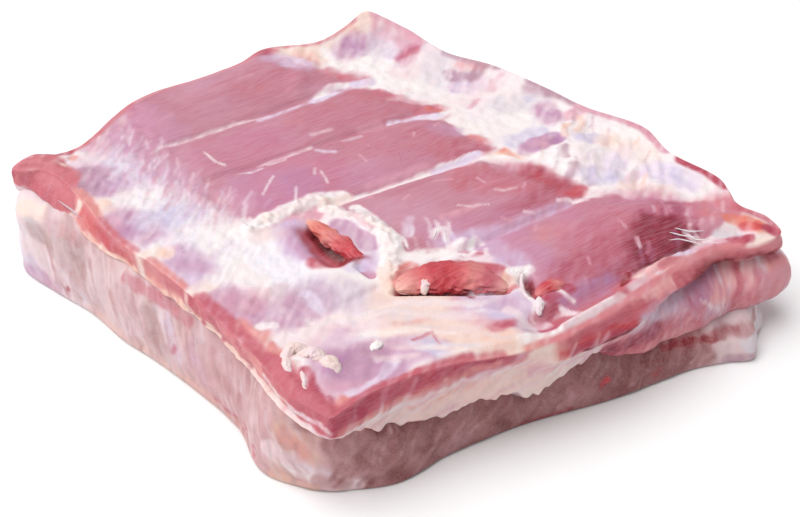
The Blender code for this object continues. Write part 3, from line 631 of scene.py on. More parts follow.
# Strokes that follow the rim: flesh, from place, to place, distance inside, half width, softness, strength
rimPaint = (
    ("rose", 2.04, 2.3, 0, 0.8, 2, 0.5), ("bandRed", 2.3, 2.85, 0, 1.4, 2.5, 0.75),
    ("crimson", 2.86, 3.02, 0, 1.6, 3, 0.85), ("bandRed", 3.02, 3.14, 2, 2.5, 3, 0.9),
    ("bandSalmon", 3.18, 3.28, 0, 1.6, 3, 0.85), ("bandRed", 3.28, 3.41, 0, 1.5, 2.5, 0.85),
    ("bandSalmon", 3.45, 3.56, 0, 1.4, 2.5, 0.85), ("rose", 3.6, 3.82, 1, 2.4, 3.5, 0.85),
    ("rose", 3.82, 4.0, 2, 3.4, 4, 0.9), ("rose", 0.0, 0.28, 0, 1.6, 2, 0.9),
    ("bandRed", 0.26, 0.345, 0, 0.8, 2, 0.7), ("lipPink", 0.42, 0.92, -0.6, 1, 1.6, 0.9),
    ("crimson", 1.34, 1.42, 0, 1.6, 2, 0.95), ("crimson", 1.16, 1.27, 0, 2.2, 2.2, 0.95),
    ("rose", 1.02, 1.1, 0, 2, 3, 0.8), ("greyMauve", 1.52, 1.63, 0, 1.4, 2.5, 0.8),
    ("rosy", 1.3, 1.52, 0, 2.2, 2.6, 0.9), ("greyMauve", 1.7, 1.8, 0, 1.4, 3, 0.7),
    ("rosy", 1.9, 1.98, 0, 1.5, 2.5, 0.7),
)

# Families of fine streaks: flesh names, how many, half width, length, slant, strength, region
streakFields = (
    (("lilacWhite", "snow", "white", "muscleLight"), 300, 0.2, 11, 44, 0.32,
     ((-84, 116), (-70, 120), (-58, 96), (-56, 60), (-44, 26), (-74, 22), (-86, 60))),
    (("muscleViolet", "mauve", "rosy"), 70, 0.3, 11, 44, 0.35,
     ((-82, 112), (-66, 118), (-60, 60), (-60, 28), (-76, 50))),
    (("snow", "pinkWhite", "lilac", "white"), 60, 1.4, 18, 36, 0.3,
     ((-104, 104), (-84, 108), (-72, 30), (-80, -40), (-98, -30))),
    (("muscleLight", "rosy"), 80, 0.6, 30, 2, 0.15, ((-50, 132), (20, 132), (58, 60), (58, 8), (-40, 24))),
    (("muscleDeep", "muscleRed"), 70, 0.6, 26, 2, 0.14,
     ((-40, 132), (20, 132), (58, 60), (58, 8), (-30, 26))),
    (("muscleLight", "rosy"), 50, 0.6, 24, -6, 0.15,
     ((-8, 6), (48, 2), (72, -30), (100, -74), (60, -98), (14, -90), (2, -44))),
    (("muscleDeep", "muscleRed"), 50, 0.6, 20, -6, 0.14,
     ((0, 4), (48, 0), (72, -30), (100, -74), (60, -98), (20, -90), (6, -44))),
    (("rosy", "bandRed", "pinkWhite"), 46, 0.5, 9, 48, 0.4,
     ((88, -72), (122, -88), (120, -100), (90, -102))),
    (("pinkWhite", "cream", "white", "greyWhite"), 90, 0.9, 20, -32, 0.4,
     ((-60, -56), (-38, -60), (-8, -84), (-12, -112), (-60, -96))),
    (("greyMauve", "greyLilac", "peach", "white"), 60, 0.4, 9, 40, 0.3,
     ((74, 0), (120, 6), (126, -60), (104, -66), (84, -50), (76, -30))),
    (("pinkWhite", "greyWhite", "white"), 60, 0.9, 14, 30, 0.4,
     ((48, 118), (92, 118), (100, 60), (112, 10), (70, 4), (60, 60))),
    (("white", "lilacWhite", "pinkWhite"), 34, 0.6, 9, 62, 0.6,
     ((-14, -24), (2, -22), (16, -44), (16, -60), (4, -52), (-12, -44))),
    (("muscleDeep", "violet", "rosy"), 60, 0.6, 9, 50, 0.4,
     ((10, -92), (60, -92), (96, -96), (60, -104), (10, -110))),
    (("rose", "muscleDeep", "rosy"), 40, 0.5, 8, 60, 0.5, ((-52, 2), (-40, 2), (-40, -26), (-52, -26))),
    (("muscleDeep", "bandSalmon", "crimson"), 50, 0.6, 9, 62, 0.5,
     ((-106, -30), (-98, -34), (-92, -66), (-94, -100), (-106, -100))),
    (("salmon", "rose", "pinkWhite"), 60, 0.5, 14, 3, 0.4,
     ((-10, -113), (40, -112), (98, -108), (108, -113), (70, -116), (0, -121))),
)

# How the brush behaves; spreads are factors from..to
brush = {
    "grain": 0.6,                # how far the grain of the flesh breaks up a stroke
    "streakSlant": 7,            # how far streaks stray from their slant, in degrees
    "streakLength": (0.4, 1.2), "streakStrength": (0.4, 1.2), "streakWidth": (0.5, 1.5),
    "streakBow": 0.15, "streakCore": 0.3, "streakSoft": (1.2, 0.6),
    "rimStep": 0.02, "rimWander": 0.3,    # share of a side between points, and of the top's wander
}


def asRows(names):
    return np.array([flesh[name] for name in names], float)


# Lays one stroke over the tints[n, 4] of points in plan
def layStroke(tints, x, y, name, half, soft, strength, path, grain):
    reach = half + soft
    low, high = np.min(path, 0) - reach, np.max(path, 0) + reach
    near = np.flatnonzero((x > low[0]) & (x < high[0]) & (y > low[1]) & (y < high[1]))
    if len(near) == 0:
        return
    gap = nearPath(x[near], y[near], path)
    share = strength * smooth(1 - (gap - half) / soft)
    share = np.clip(share * (1 + brush["grain"] * grain[near]), 0, 1)[:, None]
    tints[near] += share * (np.array(flesh[name], float) - tints[near])


# Lays random fine streaks within regions
def layStreaks(tints, x, y, fields, grain, draw):
    for names, count, half, length, slant, strength, region in fields:
        corners = np.array(region, float)
        low, high = corners.min(0), corners.max(0)
        for _ in range(count):
            middle = np.array([draw.uniform(low[0], high[0]), draw.uniform(low[1], high[1])])
            turn = math.radians(slant + draw.gauss(0, brush["streakSlant"]))
            size = 0.5 * length * draw.uniform(*brush["streakLength"])
            name = draw.choice(names)
            share = strength * draw.uniform(*brush["streakStrength"])
            width = half * draw.uniform(*brush["streakWidth"])
            if inside(middle[:1], middle[1:], region)[0] < 0:
                continue
            step = size * np.array([math.cos(turn), math.sin(turn)])
            bow = draw.gauss(0, brush["streakBow"]) * np.array([-step[1], step[0]])
            least, widening = brush["streakSoft"]
            layStroke(tints, x, y, name, brush["streakCore"] * width, least + widening * width, share,
                      [middle - step, middle + bow, middle + step], grain)


# Ground colours of the top, and how its edges wander; lengths in mm
topGround = {
    "fatCloud": (0.35, 26), "leanCloud": (0.5, 30, 1.4),    # share and size, then contrast
    "wobble": ((2.2, 9), (0.8, 3.2)),                       # how far edges wander, over what length
    "grain": (2.6, 42, 4.0), "grainLumps": (0.5, 5.5),      # size, slant and stretch
    "edgeStreaks": (6.0, 1.8, 43, 6.0),                     # height, size, slant and stretch
    "edgeStreaksFrom": (-40, 25),                           # x where they begin, and over how much
    "feather": (2.2, 12, -46, 26, 16, 20),                  # least, more, then where in x and in y
    "featherIn": 0.2,
}


def blendFlesh(first, second, share):
    return asRows([first]) * (1 - share) + share * asRows([second])


def muscleEdge(x, y, wanderX, wanderY):
    look = topGround
    height, size, slant, stretch = look["edgeStreaks"]
    start, run = look["edgeStreaksFrom"]
    streak = height * streakAt(x, y, size, slant, 31.0, stretch) * smooth((start - x) / run)
    least, more, startX, runX, startY, runY = look["feather"]
    feather = least + more * smooth((startX - x) / runX) * smooth((y - startY) / runY)
    depth = np.maximum(*[inside(x + wanderX, y + wanderY, panel) for panel in musclePanels])
    return smooth(0.5 + (depth - look["featherIn"] * feather + streak) / feather)[:, None]


# Tints of points on top, in plan
def paintTop(x, y):
    level, look = 0 * x, topGround
    size, slant, stretch = look["grain"]
    amount, length = look["grainLumps"]
    grain = streakAt(x, y, size, slant, 23.0, stretch) + amount * noiseAt(x, y, level, length, 2.0)
    (far, long), (near, short) = look["wobble"]
    wanderX, wanderY = [
        far * noiseAt(x, y, level, long, seed) + near * noiseAt(x, y, level, short, seed + 4)
        for seed in (3.1, 11.3)]
    share, size = look["fatCloud"]
    tints = blendFlesh("white", "pinkWhite", share * (0.5 + noiseAt(x, y, level, size, 8.0)[:, None]))
    share, size, contrast = look["leanCloud"]
    cloud = smooth(0.5 + noiseAt(x, y, level, size, 14.0) * contrast)[:, None]
    lean = blendFlesh("muscle", "muscleLight", share * cloud)
    tints = tints + muscleEdge(x, y, wanderX, wanderY) * (lean - tints)

    def strokes(group, calm):
        for name, half, soft, strength, *path in topPaint[group]:
            layStroke(tints, x + calm * wanderX, y + calm * wanderY, name, half, soft, strength, path,
                      grain)

    for group in ("leftFat", "frontFat", "rightFat", "panels"):
        strokes(group, 1)
    layStreaks(tints, x, y, streakFields, grain, random.Random(12))
    for group, calm in (("seams", 0.35), ("corner", 0.6), ("frontLip", 0.5), ("slits", 0.4)):
        strokes(group, calm)
    for name, start, end, inset, half, soft, strength in rimPaint:
        path = [tuple(outlineAt("rim", place).xy - inset * outwardAt(place))
                for place in np.arange(start, end, brush["rimStep"])]
        calm = brush["rimWander"]
        layStroke(tints, x + calm * wanderX, y + calm * wanderY, name, half, soft, strength, path, grain)
    return tints


# Paint of the cut sides: how far along the outline (0 near corner, 250 thick, -250 left) and how high
bandTones = (
    (-500, "bandRed"), (-440, "bandSalmon"), (-400, "rose"), (-330, "bandSalmon"), (-270, "bandRed"),
    (-250, "rose"), (-212, "bandRed"), (-204, "bandSalmon"), (-170, "bandRed"), (-140, "bandSalmon"),
    (-108, "rose"), (-80, "bandRed"), (-50, "bandSalmon"), (-30, "bandSalmon"), (-4, "rose"),
    # From 10 to 84 the band is a deeper rose: painted shade on the front cut, which faces away from the
    # lights.
    (10, "rose"), (60, "rose"), (84, "rose"), (94, "cream"), (106, "cream"), (113, "bandSalmon"),
    (125, "bandRed"), (160, "rose"), (180, "lipPink"), (220, "lipPink"), (250, "bandRed"), (262, "cream"),
    (276, "rose"), (300, "bandRed"), (330, "crimson"), (350, "bandRed"), (400, "rose"), (440, "cream"),
    (500, "bandRed"),
)
lipTones = (
    (-500, "cream"), (-420, "pinkWhite"), (-330, "cream"), (-250, "pinkWhite"), (-200, "cream"),
    (-140, "peach"), (-60, "cream"), (-10, "pinkWhite"), (40, "cream"), (100, "cream"),
    (134, "pinkWhite"), (146, "lobePink"), (190, "lobePink"), (222, "lobePink"), (246, "rosy"),
    (262, "pinkWhite"), (300, "lilacWhite"), (360, "pinkWhite"), (430, "cream"), (500, "cream"),
)
# Along the front face (10 to 190) the browns are partly the flesh's own colour and partly painted shade, as
# that face lies away from the lights.
slabTones = (
    (-500, "duskyRose"), (-400, "duskyLight"), (-320, "duskyRose"), (-262, "greyWhite"),
    (-236, "greyWhite"), (-215, "duskyLight"), (-175, "duskyLight"), (-130, "duskyLight"),
    (-95, "duskyRose"), (-60, "brownPink"), (-36, "duskyRose"), (-20, "peachFat"), (-6, "duskyRose"),
    (10, "brownPink"), (24, "brownDark"), (60, "brownDark"), (120, "brownDark"), (160, "brownDark"),
    (190, "brown"), (204, "duskyLight"), (262, "greyWhite"), (290, "duskyRose"), (380, "brownPink"),
    (450, "duskyRose"), (500, "duskyRose"),
)
sheetPaint = (
    ("lobeWarm", 6, 5, 0.3, (10, 31), (100, 33)), ("bandRed", 3, 3, 0.9, (-245, 43), (-207, 41)),
    ("rose", 1.2, 4, 0.6, (-240, 41), (-214, 39)), ("crimson", 1.6, 2.5, 0.8, (-257, 45), (-250, 42)),
    ("cream", 1, 1.6, 0.9, (-201, 47), (-199, 35)), ("cream", 1, 2, 0.9, (-146, 46), (-143, 35)),
    ("cream", 1, 1.6, 0.7, (-109, 45), (-106, 36)), ("red", 1.2, 2.5, 0.5, (-196, 42), (-152, 40)),
    ("salmon", 2, 4, 0.4, (-196, 39), (-180, 38)), ("peach", 2, 3, 0.5, (-135, 36), (-112, 37)),
    ("crimson", 0.7, 1.8, 0.6, (-104, 44), (-96, 37)), ("crimson", 0.7, 1.8, 0.6, (-88, 43), (-80, 37)),
    ("crimson", 0.9, 2, 0.5, (-66, 44), (-58, 38)),
    ("pinkWhite", 0.5, 1, 0.95, (-44, 41), (-22, 41), (0, 40)), ("rose", 1.5, 2, 0.8, (-44, 45), (0, 44)),
    ("cream", 0.6, 1.6, 0.5, (-200, 34.5), (-100, 33.5), (-10, 36)),
    ("rose", 1.2, 2, 0.5, (-160, 34), (-120, 33.5)), ("bandRed", 0.8, 1.5, 0.7, (0, 46), (90, 46)),
    # The crimson over the front band is painted shade, deepening it like the rose in bandTones.
    ("crimson", 1.8, 2.2, 0.85, (2, 42), (50, 42.5), (88, 44.5)), ("rose", 1, 2, 0.6, (20, 39.5), (70, 41)),
    ("bandSalmon", 0.7, 1.2, 0.8, (4, 38), (40, 38.5), (84, 42)),
    ("pinkWhite", 1, 1.6, 0.7, (8, 35.5), (60, 36), (96, 39)), ("salmon", 0.8, 2, 0.4, (40, 33), (70, 35)),
    ("rosy", 1.5, 3, 0.5, (100, 33), (132, 32)), ("lipPink", 1.2, 2, 0.8, (112, 45), (170, 45), (250, 42)),
    # The lobeWarm stroke along the crest of the lip is a painted highlight.
    ("rose", 1.6, 5, 0.8, (120, 41.5), (150, 41)), ("lobeWarm", 1, 2, 0.8, (164, 43.5), (182, 43.5)),
    ("red", 0.8, 2, 0.6, (112, 39), (150, 39)), ("rose", 1.4, 2, 0.8, (184, 41.5), (234, 38.5)),
    # Under the lip the crimson deepens, and darkRed and shade draw the slot below it: painted shade.
    ("crimson", 1, 1.6, 0.9, (118, 37.5), (170, 35.8), (246, 33)),
    ("darkRed", 1, 2, 0.9, (176, 37), (202, 38.5), (226, 37.5), (246, 36)),
    ("shade", 0.5, 1.3, 0.85, (124, 35.5), (168, 35), (206, 36.5), (244, 35)),
    ("lobeLilac", 5, 5, 0.95, (158, 32), (176, 32), (196, 28)),
    ("lobeMauve", 2.5, 4, 0.8, (192, 31), (212, 31)),
    ("lobeRose", 4, 5, 0.95, (142, 23), (158, 21), (172, 22)), ("wine", 1.5, 3, 0.7, (140, 25), (152, 24)),
    ("wine", 2, 3.5, 0.75, (152, 26), (170, 25)), ("lobeRose", 3, 4, 0.6, (176, 22), (196, 23)),
    ("lobeWarm", 3, 4, 0.9, (206, 25), (219, 29), (225, 33)), ("lobeWarm", 2, 4, 0.6, (150, 14), (186, 15)),
    ("pinkWhite", 1.4, 3, 0.85, (228, 34), (238, 33)),
    ("lobeRose", 0.8, 2.2, 0.8, (226, 33), (224, 27), (221, 21)),
    ("lobeWarm", 1, 2.4, 0.7, (231, 31), (229, 25), (227, 19)),
    ("lobeRose", 3, 4, 0.6, (222, 21), (240, 17)), ("lobePink", 3, 5, 0.8, (240, 24), (250, 26)),
    ("lobeLilac", 1.5, 4, 0.6, (200, 22), (214, 20)), ("pinkWhite", 0.7, 1.5, 0.7, (150, 33), (170, 35)),
    ("white", 0.4, 1, 0.6, (196, 29), (206, 22), (209, 17)),
    ("brownPink", 1, 2, 0.7, (206, 12.5), (226, 12), (244, 10)),
    ("salmon", 1, 2, 0.5, (240, 32), (250, 31)),
    # The darkRed line along the fold under the lobe is painted shade.
    ("darkRed", 0.8, 1.4, 0.9, (136, 16), (199, 12), (204, 12)),
)
slabPaint = (
    ("greyBrown", 4, 5, 0.55, (-226, 24), (-204, 12)), ("greyBrown", 3, 5, 0.45, (-212, 30), (-196, 20)),
    ("pinkWhite", 4, 4, 0.95, (-256, 33), (-238, 32)), ("cream", 1, 2, 0.9, (-240, 34), (-224, 35)),
    ("duskyRose", 1.6, 2, 0.8, (-218, 33), (-196, 32)), ("rose", 1.6, 2.4, 0.6, (-160, 32), (-112, 31)),
    ("brownPink", 1.5, 2, 0.6, (-20, 1.5), (8, 1.5)),
    ("pinkWhite", 4.5, 4, 0.9, (-252, 28), (-238, 20), (-190, 3)),
    ("lilacWhite", 4, 6, 0.6, (-250, 14), (-232, 6)), ("mauve", 3, 4, 0.6, (-236, 2), (-212, 3)),
    ("greyBrown", 3, 5, 0.35, (-196, 26), (-180, 12)), ("brownPink", 2, 4, 0.3, (-196, 14), (-184, 4)),
    ("duskyLight", 4, 6, 0.5, (-184, 22), (-168, 8)), ("crimson", 0.7, 1.5, 0.7, (-202, 6), (-201, 7)),
    ("duskyRose", 4, 6, 0.7, (-160, 22), (-130, 14)), ("lilacWhite", 2, 4, 0.6, (-128, 24), (-116, 12)),
    ("crimson", 0.8, 1.5, 0.6, (-120, 13), (-119, 15)), ("greyBrown", 2, 5, 0.6, (-140, 24), (-128, 8)),
    ("mauve", 2, 4, 0.4, (-108, 22), (-98, 10)), ("pinkWhite", 2.4, 5, 0.35, (-84, 26), (-50, 20)),
    ("duskyRose", 3, 5, 0.8, (-88, 9), (-46, 10)), ("peachFat", 1.2, 3, 0.4, (-190, 1.5), (-60, 2)),
    # The darkRed line along the foot of the front, next to the table, is painted shade.
    ("darkRed", 0.5, 1.2, 0.8, (96, 1), (122, 2)), ("crimson", 0.4, 1.2, 0.6, (-92, 5), (-66, 4), (-44, 8)),
    ("red", 0.9, 1.4, 0.6, (-59, 10), (-57, 9)), ("red", 0.8, 1.4, 0.6, (-48, 5), (-47, 4)),
    ("peachFat", 3.5, 3, 0.95, (-28, 25), (-12, 15)), ("bandSalmon", 2, 4, 0.55, (-26, 24), (-16, 18)),
    # The brown strokes at the near corner under the sheet and along the front are partly painted shade.
    ("brown", 3, 3, 0.8, (-18, 31), (2, 29)), ("brownPink", 2.5, 3, 0.7, (-4, 24), (10, 20)),
    ("pinkWhite", 3, 3, 0.9, (-34, 15), (-16, 9), (10, 2)), ("lilacWhite", 1.2, 3, 0.4, (-22, 15), (0, 8)),
    ("white", 1.4, 2.5, 0.6, (-24, 10), (-10, 7)), ("peachFat", 1, 2, 0.8, (-30, 1), (-8, 1)),
    ("brownPink", 2, 3, 0.7, (-8, 6), (4, 5)), ("brown", 3, 5, 0.7, (40, 15), (90, 14), (130, 12)),
    ("brownDark", 0.7, 2, 0.7, (30, 12), (64, 8)), ("brownPink", 2, 3, 0.7, (36, 5), (76, 6)),
    ("brown", 2, 4, 0.7, (12, 14), (34, 12)), ("brownPink", 2, 5, 0.6, (96, 6), (130, 7)),
    ("red", 1, 1.4, 0.8, (139, 10.5), (141, 11.5)), ("red", 0.8, 1.3, 0.8, (168, 5), (170, 6)),
    ("brownDark", 3, 4, 0.6, (150, 10), (196, 7)),
    # The darkRed line under the ledge of the right end is painted shade in the gap.
    ("darkRed", 0.5, 1.3, 0.9, (176, 13.5), (200, 12), (216, 11.5)),
    ("duskyLight", 3, 3, 0.7, (206, 7), (228, 5)), ("greyWhite", 2, 3, 0.9, (218, 8), (250, 6)),
    ("brownPink", 0.8, 1.6, 0.7, (206, 12), (236, 11)), ("greyMauve", 1, 2, 0.6, (206, 2), (240, 2)),
)
sideStreaks = {
    "sheet": (
        (("rosy", "duskyLight", "pinkWhite", "white", "cream"), 130, 0.4, 12, 24, 0.45,
         ((2, 38), (136, 38), (136, 20), (2, 24))),
        (("white", "lilacWhite", "pinkWhite"), 90, 0.12, 4, 58, 0.3,
         ((142, 34), (236, 33), (236, 14), (150, 18))),
        (("lobeRose", "lobeWarm", "lobeMauve"), 150, 0.4, 5, 50, 0.3,
         ((136, 32), (246, 32), (246, 12), (136, 16))),
        (("muscleDeep", "rosy", "bandRed"), 150, 0.4, 6, -50, 0.22,
         ((-250, 46), (0, 46), (0, 38), (-250, 36))),
        (("muscleDeep", "rosy", "bandRed"), 60, 0.5, 8, 30, 0.35, ((0, 46), (96, 46), (96, 38), (0, 38))),
        (("muscleDeep", "rosy", "bandRed", "cream"), 220, 0.6, 7, 110, 0.4,
         ((-500, 46), (-250, 46), (-250, 36), (-500, 36))),
        (("rosy", "peach", "white", "lilac"), 160, 0.7, 9, 100, 0.4,
         ((256, 40), (500, 40), (500, 18), (256, 14))),
    ),
    "slab": (
        (("greyBrown", "duskyRose", "brownPink"), 260, 0.6, 15, -55, 0.36,
         ((-236, 36), (0, 36), (0, 0), (-210, 0))),
        (("duskyLight", "greyWhite", "pinkWhite"), 150, 0.6, 12, -55, 0.32,
         ((-250, 36), (-10, 36), (-10, 0), (-250, 0))),
        # The brown streaks of the front face are partly painted shade.
        (("brownDark", "brown", "brownPink", "duskyRose"), 240, 0.7, 10, 40, 0.45,
         ((0, 34), (200, 24), (200, 0), (0, 0))),
        (("rosy", "duskyLight"), 50, 0.4, 7, 36, 0.2, ((4, 30), (200, 20), (200, 0), (10, 0))),
        (("greyBrown", "duskyLight", "brownPink", "white"), 300, 0.9, 14, 70, 0.4,
         ((256, 30), (500, 36), (500, 0), (256, 0))),
        (("greyBrown", "duskyLight", "brownPink", "white"), 300, 0.9, 14, 70, 0.4,
         ((-500, 36), (-250, 36), (-250, 0), (-500, 0))),
    ),
}


def tonesAlong(table, along):
    rows = asRows([name for spot, name in table])
    return np.stack([np.interp(along, [spot for spot, name in table], rows[:, c]) for c in range(4)], 1)


# Grain and wander of the cut sides: size and slant of the fibres, then share and size in mm of each
cutGround = {
    "fibres": (2.4, -56), "lumps": (0.4, 5), "wanderAlong": (2.2, 8), "wanderUp": (1.3, 6),
    "toneWander": (6, 11), "slabToneWander": (8, 12), "slabCloud": (0.3, 15),
    # key number where each begins, then how ragged or how soft it is
    "bandEdge": (3.05, 0.9, 0.45), "foldTone": ("rosy", 0.6, 8.4, 0.4), "topEdge": (0.15, 1.1),
}


# Strokes and streaks over the tones of a cut side
def paintCut(tints, x, y, z, along, strokes, streaks, seed, stretch):
    (amount, length), (size, slant) = cutGround["lumps"], cutGround["fibres"]
    grain = streakAt(along, z, size, slant, seed, stretch) + amount * noiseAt(x, y, z, length, seed)
    (far, farLength), (up, upLength) = cutGround["wanderAlong"], cutGround["wanderUp"]
    bendAlong = far * noiseAt(x, y, z, farLength, seed + 3)
    bendUp = up * noiseAt(x, y, z, upLength, seed + 7)
    for name, half, soft, strength, *path in strokes:
        layStroke(tints, along + bendAlong, z + bendUp, name, half, soft, strength, path, grain)
    layStreaks(tints, along, z, streaks, grain, random.Random(int(seed)))


sideSpan = 250    # "along" counts this much for each side, with 0 at the near corner


def alongOf(place):
    return sideSpan * ((place + 2) % 4 - 2)


# The sides of the rib sheet: cut band, then the lip, curtain or lobe that hangs from it
def paintSheetSides(tints, points, mark, place):
    x, y, z = points.T
    along = alongOf(place)
    amount, length = cutGround["toneWander"]
    shifted = along + amount * noiseAt(x, y, z, length, 17.0)
    edge, ragged, soft = cutGround["bandEdge"]
    band = smooth((edge - mark + ragged * noiseAt(x, y, z, 6, 41.0)) / soft)[:, None]
    cut = tonesAlong(lipTones, shifted)
    cut += band * (tonesAlong(bandTones, shifted) - cut)
    paintCut(cut, x, y, z, along, sheetPaint, sideStreaks["sheet"], 5.0, 1.5)
    tone, share, start, soft = cutGround["foldTone"]
    cut += share * smooth((mark - start) / soft)[:, None] * (asRows([tone]) - cut)
    start, soft = cutGround["topEdge"]
    return cut + (1 - smooth((mark - start) / soft))[:, None] * (tints - cut)


# The cut sides of the slab
def paintSlab(points, place):
    x, y, z = points.T
    along = alongOf(place)
    amount, length = cutGround["slabToneWander"]
    tints = tonesAlong(slabTones, along + amount * noiseAt(x, y, z, length, 27.0))
    share, length = cutGround["slabCloud"]
    cloud = smooth(0.5 + 1.3 * noiseAt(x, y, z, length, 33.0))[:, None]
    tints += share * cloud * (asRows(["duskyRose"]) - tints)
    paintCut(tints, x, y, z, along, slabPaint, sideStreaks["slab"], 9.0, 4.0)
    return tints


# Meshes
paintStrength = 0.865    # keeps the palest fat below pure white under the lights


# Stores the tints on the points, as linear colours and a lean share
def addPaint(piece, tints):
    share = np.clip(tints[:, :3] / 255, 0, 1)
    linear = np.where(share <= 0.04045, share / 12.92, ((share + 0.055) / 1.055) ** 2.4)    # from sRGB
    colours = np.ones((len(tints), 4))
    colours[:, :3] = paintStrength * linear
    layer = piece.data.attributes.new("tint", "FLOAT_COLOR", "POINT")
    layer.data.foreach_set("color", colours.astype(np.float32).ravel())
    layer = piece.data.attributes.new("lean", "FLOAT", "POINT")
    layer.data.foreach_set("value", tints[:, 3].astype(np.float32))


def deselectAll():
    bpy.ops.object.select_all(action="DESELECT")


def readPoints(piece):
    points = np.empty(len(piece.data.vertices) * 3, np.float32)
    piece.data.vertices.foreach_get("co", points)
    return points.reshape(-1, 3).astype(float)


def writePoints(piece, points):
    piece.data.vertices.foreach_set("co", ((points + toFrame) * mm).astype(np.float32).ravel())
    piece.data.update()


def turnOutwards():
    bpy.ops.object.mode_set(mode="EDIT")
    bpy.ops.mesh.select_all(action="SELECT")
    bpy.ops.mesh.normals_make_consistent(inside=False)
    bpy.ops.object.mode_set(mode="OBJECT")


smoothAngle = 60    # degrees


def finishPiece(piece, name, material):
    piece.name = piece.data.name = name
    piece.data.materials.clear()
    piece.data.materials.append(material)
    deselectAll()
    piece.select_set(True)
    bpy.context.view_layer.objects.active = piece
    bpy.ops.object.shade_smooth_by_angle(angle=math.radians(smoothAngle))
    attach(piece, "root")
    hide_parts("pork_belly")
    return piece


cells = shape["topCells"]
around = 4 * cells
edgePlaces = np.arange(around) / cells
profiles = np.array([[tuple(p.to_3d()) for p in sideProfile(place)] for place in edgePlaces])
outwards = np.array([tuple(outwardAt(place).to_3d()) for place in edgePlaces])
boxLow, boxHigh = profiles.reshape(-1, 3).min(0), profiles.reshape(-1, 3).max(0)
toFrame = (np.array(cadBox[0]) + np.array(cadBox[1])) / 2 / mm - (boxLow + boxHigh) / 2
toFrame[2] = 0.0
print("belly: outline", (boxHigh - boxLow).round(1), "moved by", toFrame.round(3))
profiles = roundCorners(profiles)


# Moves side points in and out by small lumps and, on the slab, by slanting streaks
def roughen(points, column, fade, streaks):
    x, y, z = points.T
    along = alongOf(edgePlaces[column])
    amount, length = shape["sideLumps"]
    push = 2 * amount * noiseAt(x, y, z, length, 51.0) + 0.7 * amount * noiseAt(x, y, z, length / 3, 57.0)
    push -= shape["inset"]
    if streaks:
        amount, length, slant, stretch = shape["slabStreaks"]
        push += 2 * amount * streakAt(along, z, length, slant, 61.0, stretch)
    return points + outwards[column] * (push * fade)[:, None]


# Points of the top: the rim carried across from all four sides, with the relief on it
def topPoints(u, v):
    rimLine = profiles[:, 0]
    corners = rimLine[[0, cells, 2 * cells, 3 * cells]]
    su, sv = (u / cells)[:, None], (v / cells)[:, None]
    front, back = rimLine[u], rimLine[3 * cells - u]
    left, right = rimLine[(4 * cells - v) % around], rimLine[cells + v]
    points = front * (1 - sv) + back * sv + left * (1 - su) + right * su
    points -= (corners[0] * (1 - su) * (1 - sv) + corners[1] * su * (1 - sv)
               + corners[2] * su * sv + corners[3] * (1 - su) * sv)
    edge = np.minimum.reduce([u, v, cells - u, cells - v]) / cells
    points[:, 2] += topRelief(points[:, 0], points[:, 1]) * smooth(edge / topForm["rimFade"])
    return points


def writeColumns(piece, columns):
    layer = piece.data.attributes.new("column", "FLOAT", "POINT")
    layer.data.foreach_set("value", columns.astype(np.float32))


# Extrudes the open edge ring by ring, closes it and gives each point's column, which extruding copies
def extrudeRings(piece, count):
    for ring in range(count):
        bpy.ops.mesh.extrude_edges_move()
    bpy.ops.mesh.edge_face_add()
    bpy.ops.object.mode_set(mode="OBJECT")
    columns = np.empty(len(piece.data.vertices), np.float32)
    layer = piece.data.attributes["column"]
    layer.data.foreach_get("value", columns)
    piece.data.attributes.remove(layer)
    return np.round(columns).astype(int)


# The points and key numbers of rings, ring after ring
def ringPoints(rings, marks, columns):
    ring = np.arange(len(columns)) // around
    return rings[columns, ring], marks[columns, ring]


# The rib sheet: its top, its cut band and all that hangs from it, down to the fold
def buildSheet(material):
    deselectAll()
    bpy.ops.mesh.primitive_grid_add(x_subdivisions=cells, y_subdivisions=cells, size=1)
    sheet = bpy.context.active_object
    u, v = np.round((readPoints(sheet)[:, :2] + 0.5) * cells).astype(int).T
    top = topPoints(u, v)
    columns = np.select([v == 0, u == cells, v == cells, u == 0],
                        [u, cells + v, 3 * cells - u, 4 * cells - v], 0)
    writeColumns(sheet, columns)
    bpy.ops.object.mode_set(mode="EDIT")
    bpy.ops.mesh.select_mode(type="EDGE")
    bpy.ops.mesh.select_all(action="DESELECT")
    bpy.ops.mesh.select_non_manifold()
    columns = extrudeRings(sheet, shape["sheetRings"])[len(top):] % around
    rings, marks = smoothRows(profiles[:, :foldKey + 1], shape["sheetRings"] + 1)
    sides, mark = ringPoints(rings[:, 1:], marks[:, 1:], columns)
    sides = roughen(sides, columns, smooth(mark / shape["sheetRoughIn"]), False)
    points = np.concatenate([top, sides])
    tints = paintTop(points[:, 0], points[:, 1])
    tints[len(top):] = paintSheetSides(tints[len(top):], sides, mark, edgePlaces[columns])
    writePoints(sheet, points)
    addPaint(sheet, tints)
    return finishPiece(sheet, "ribSheet", material)


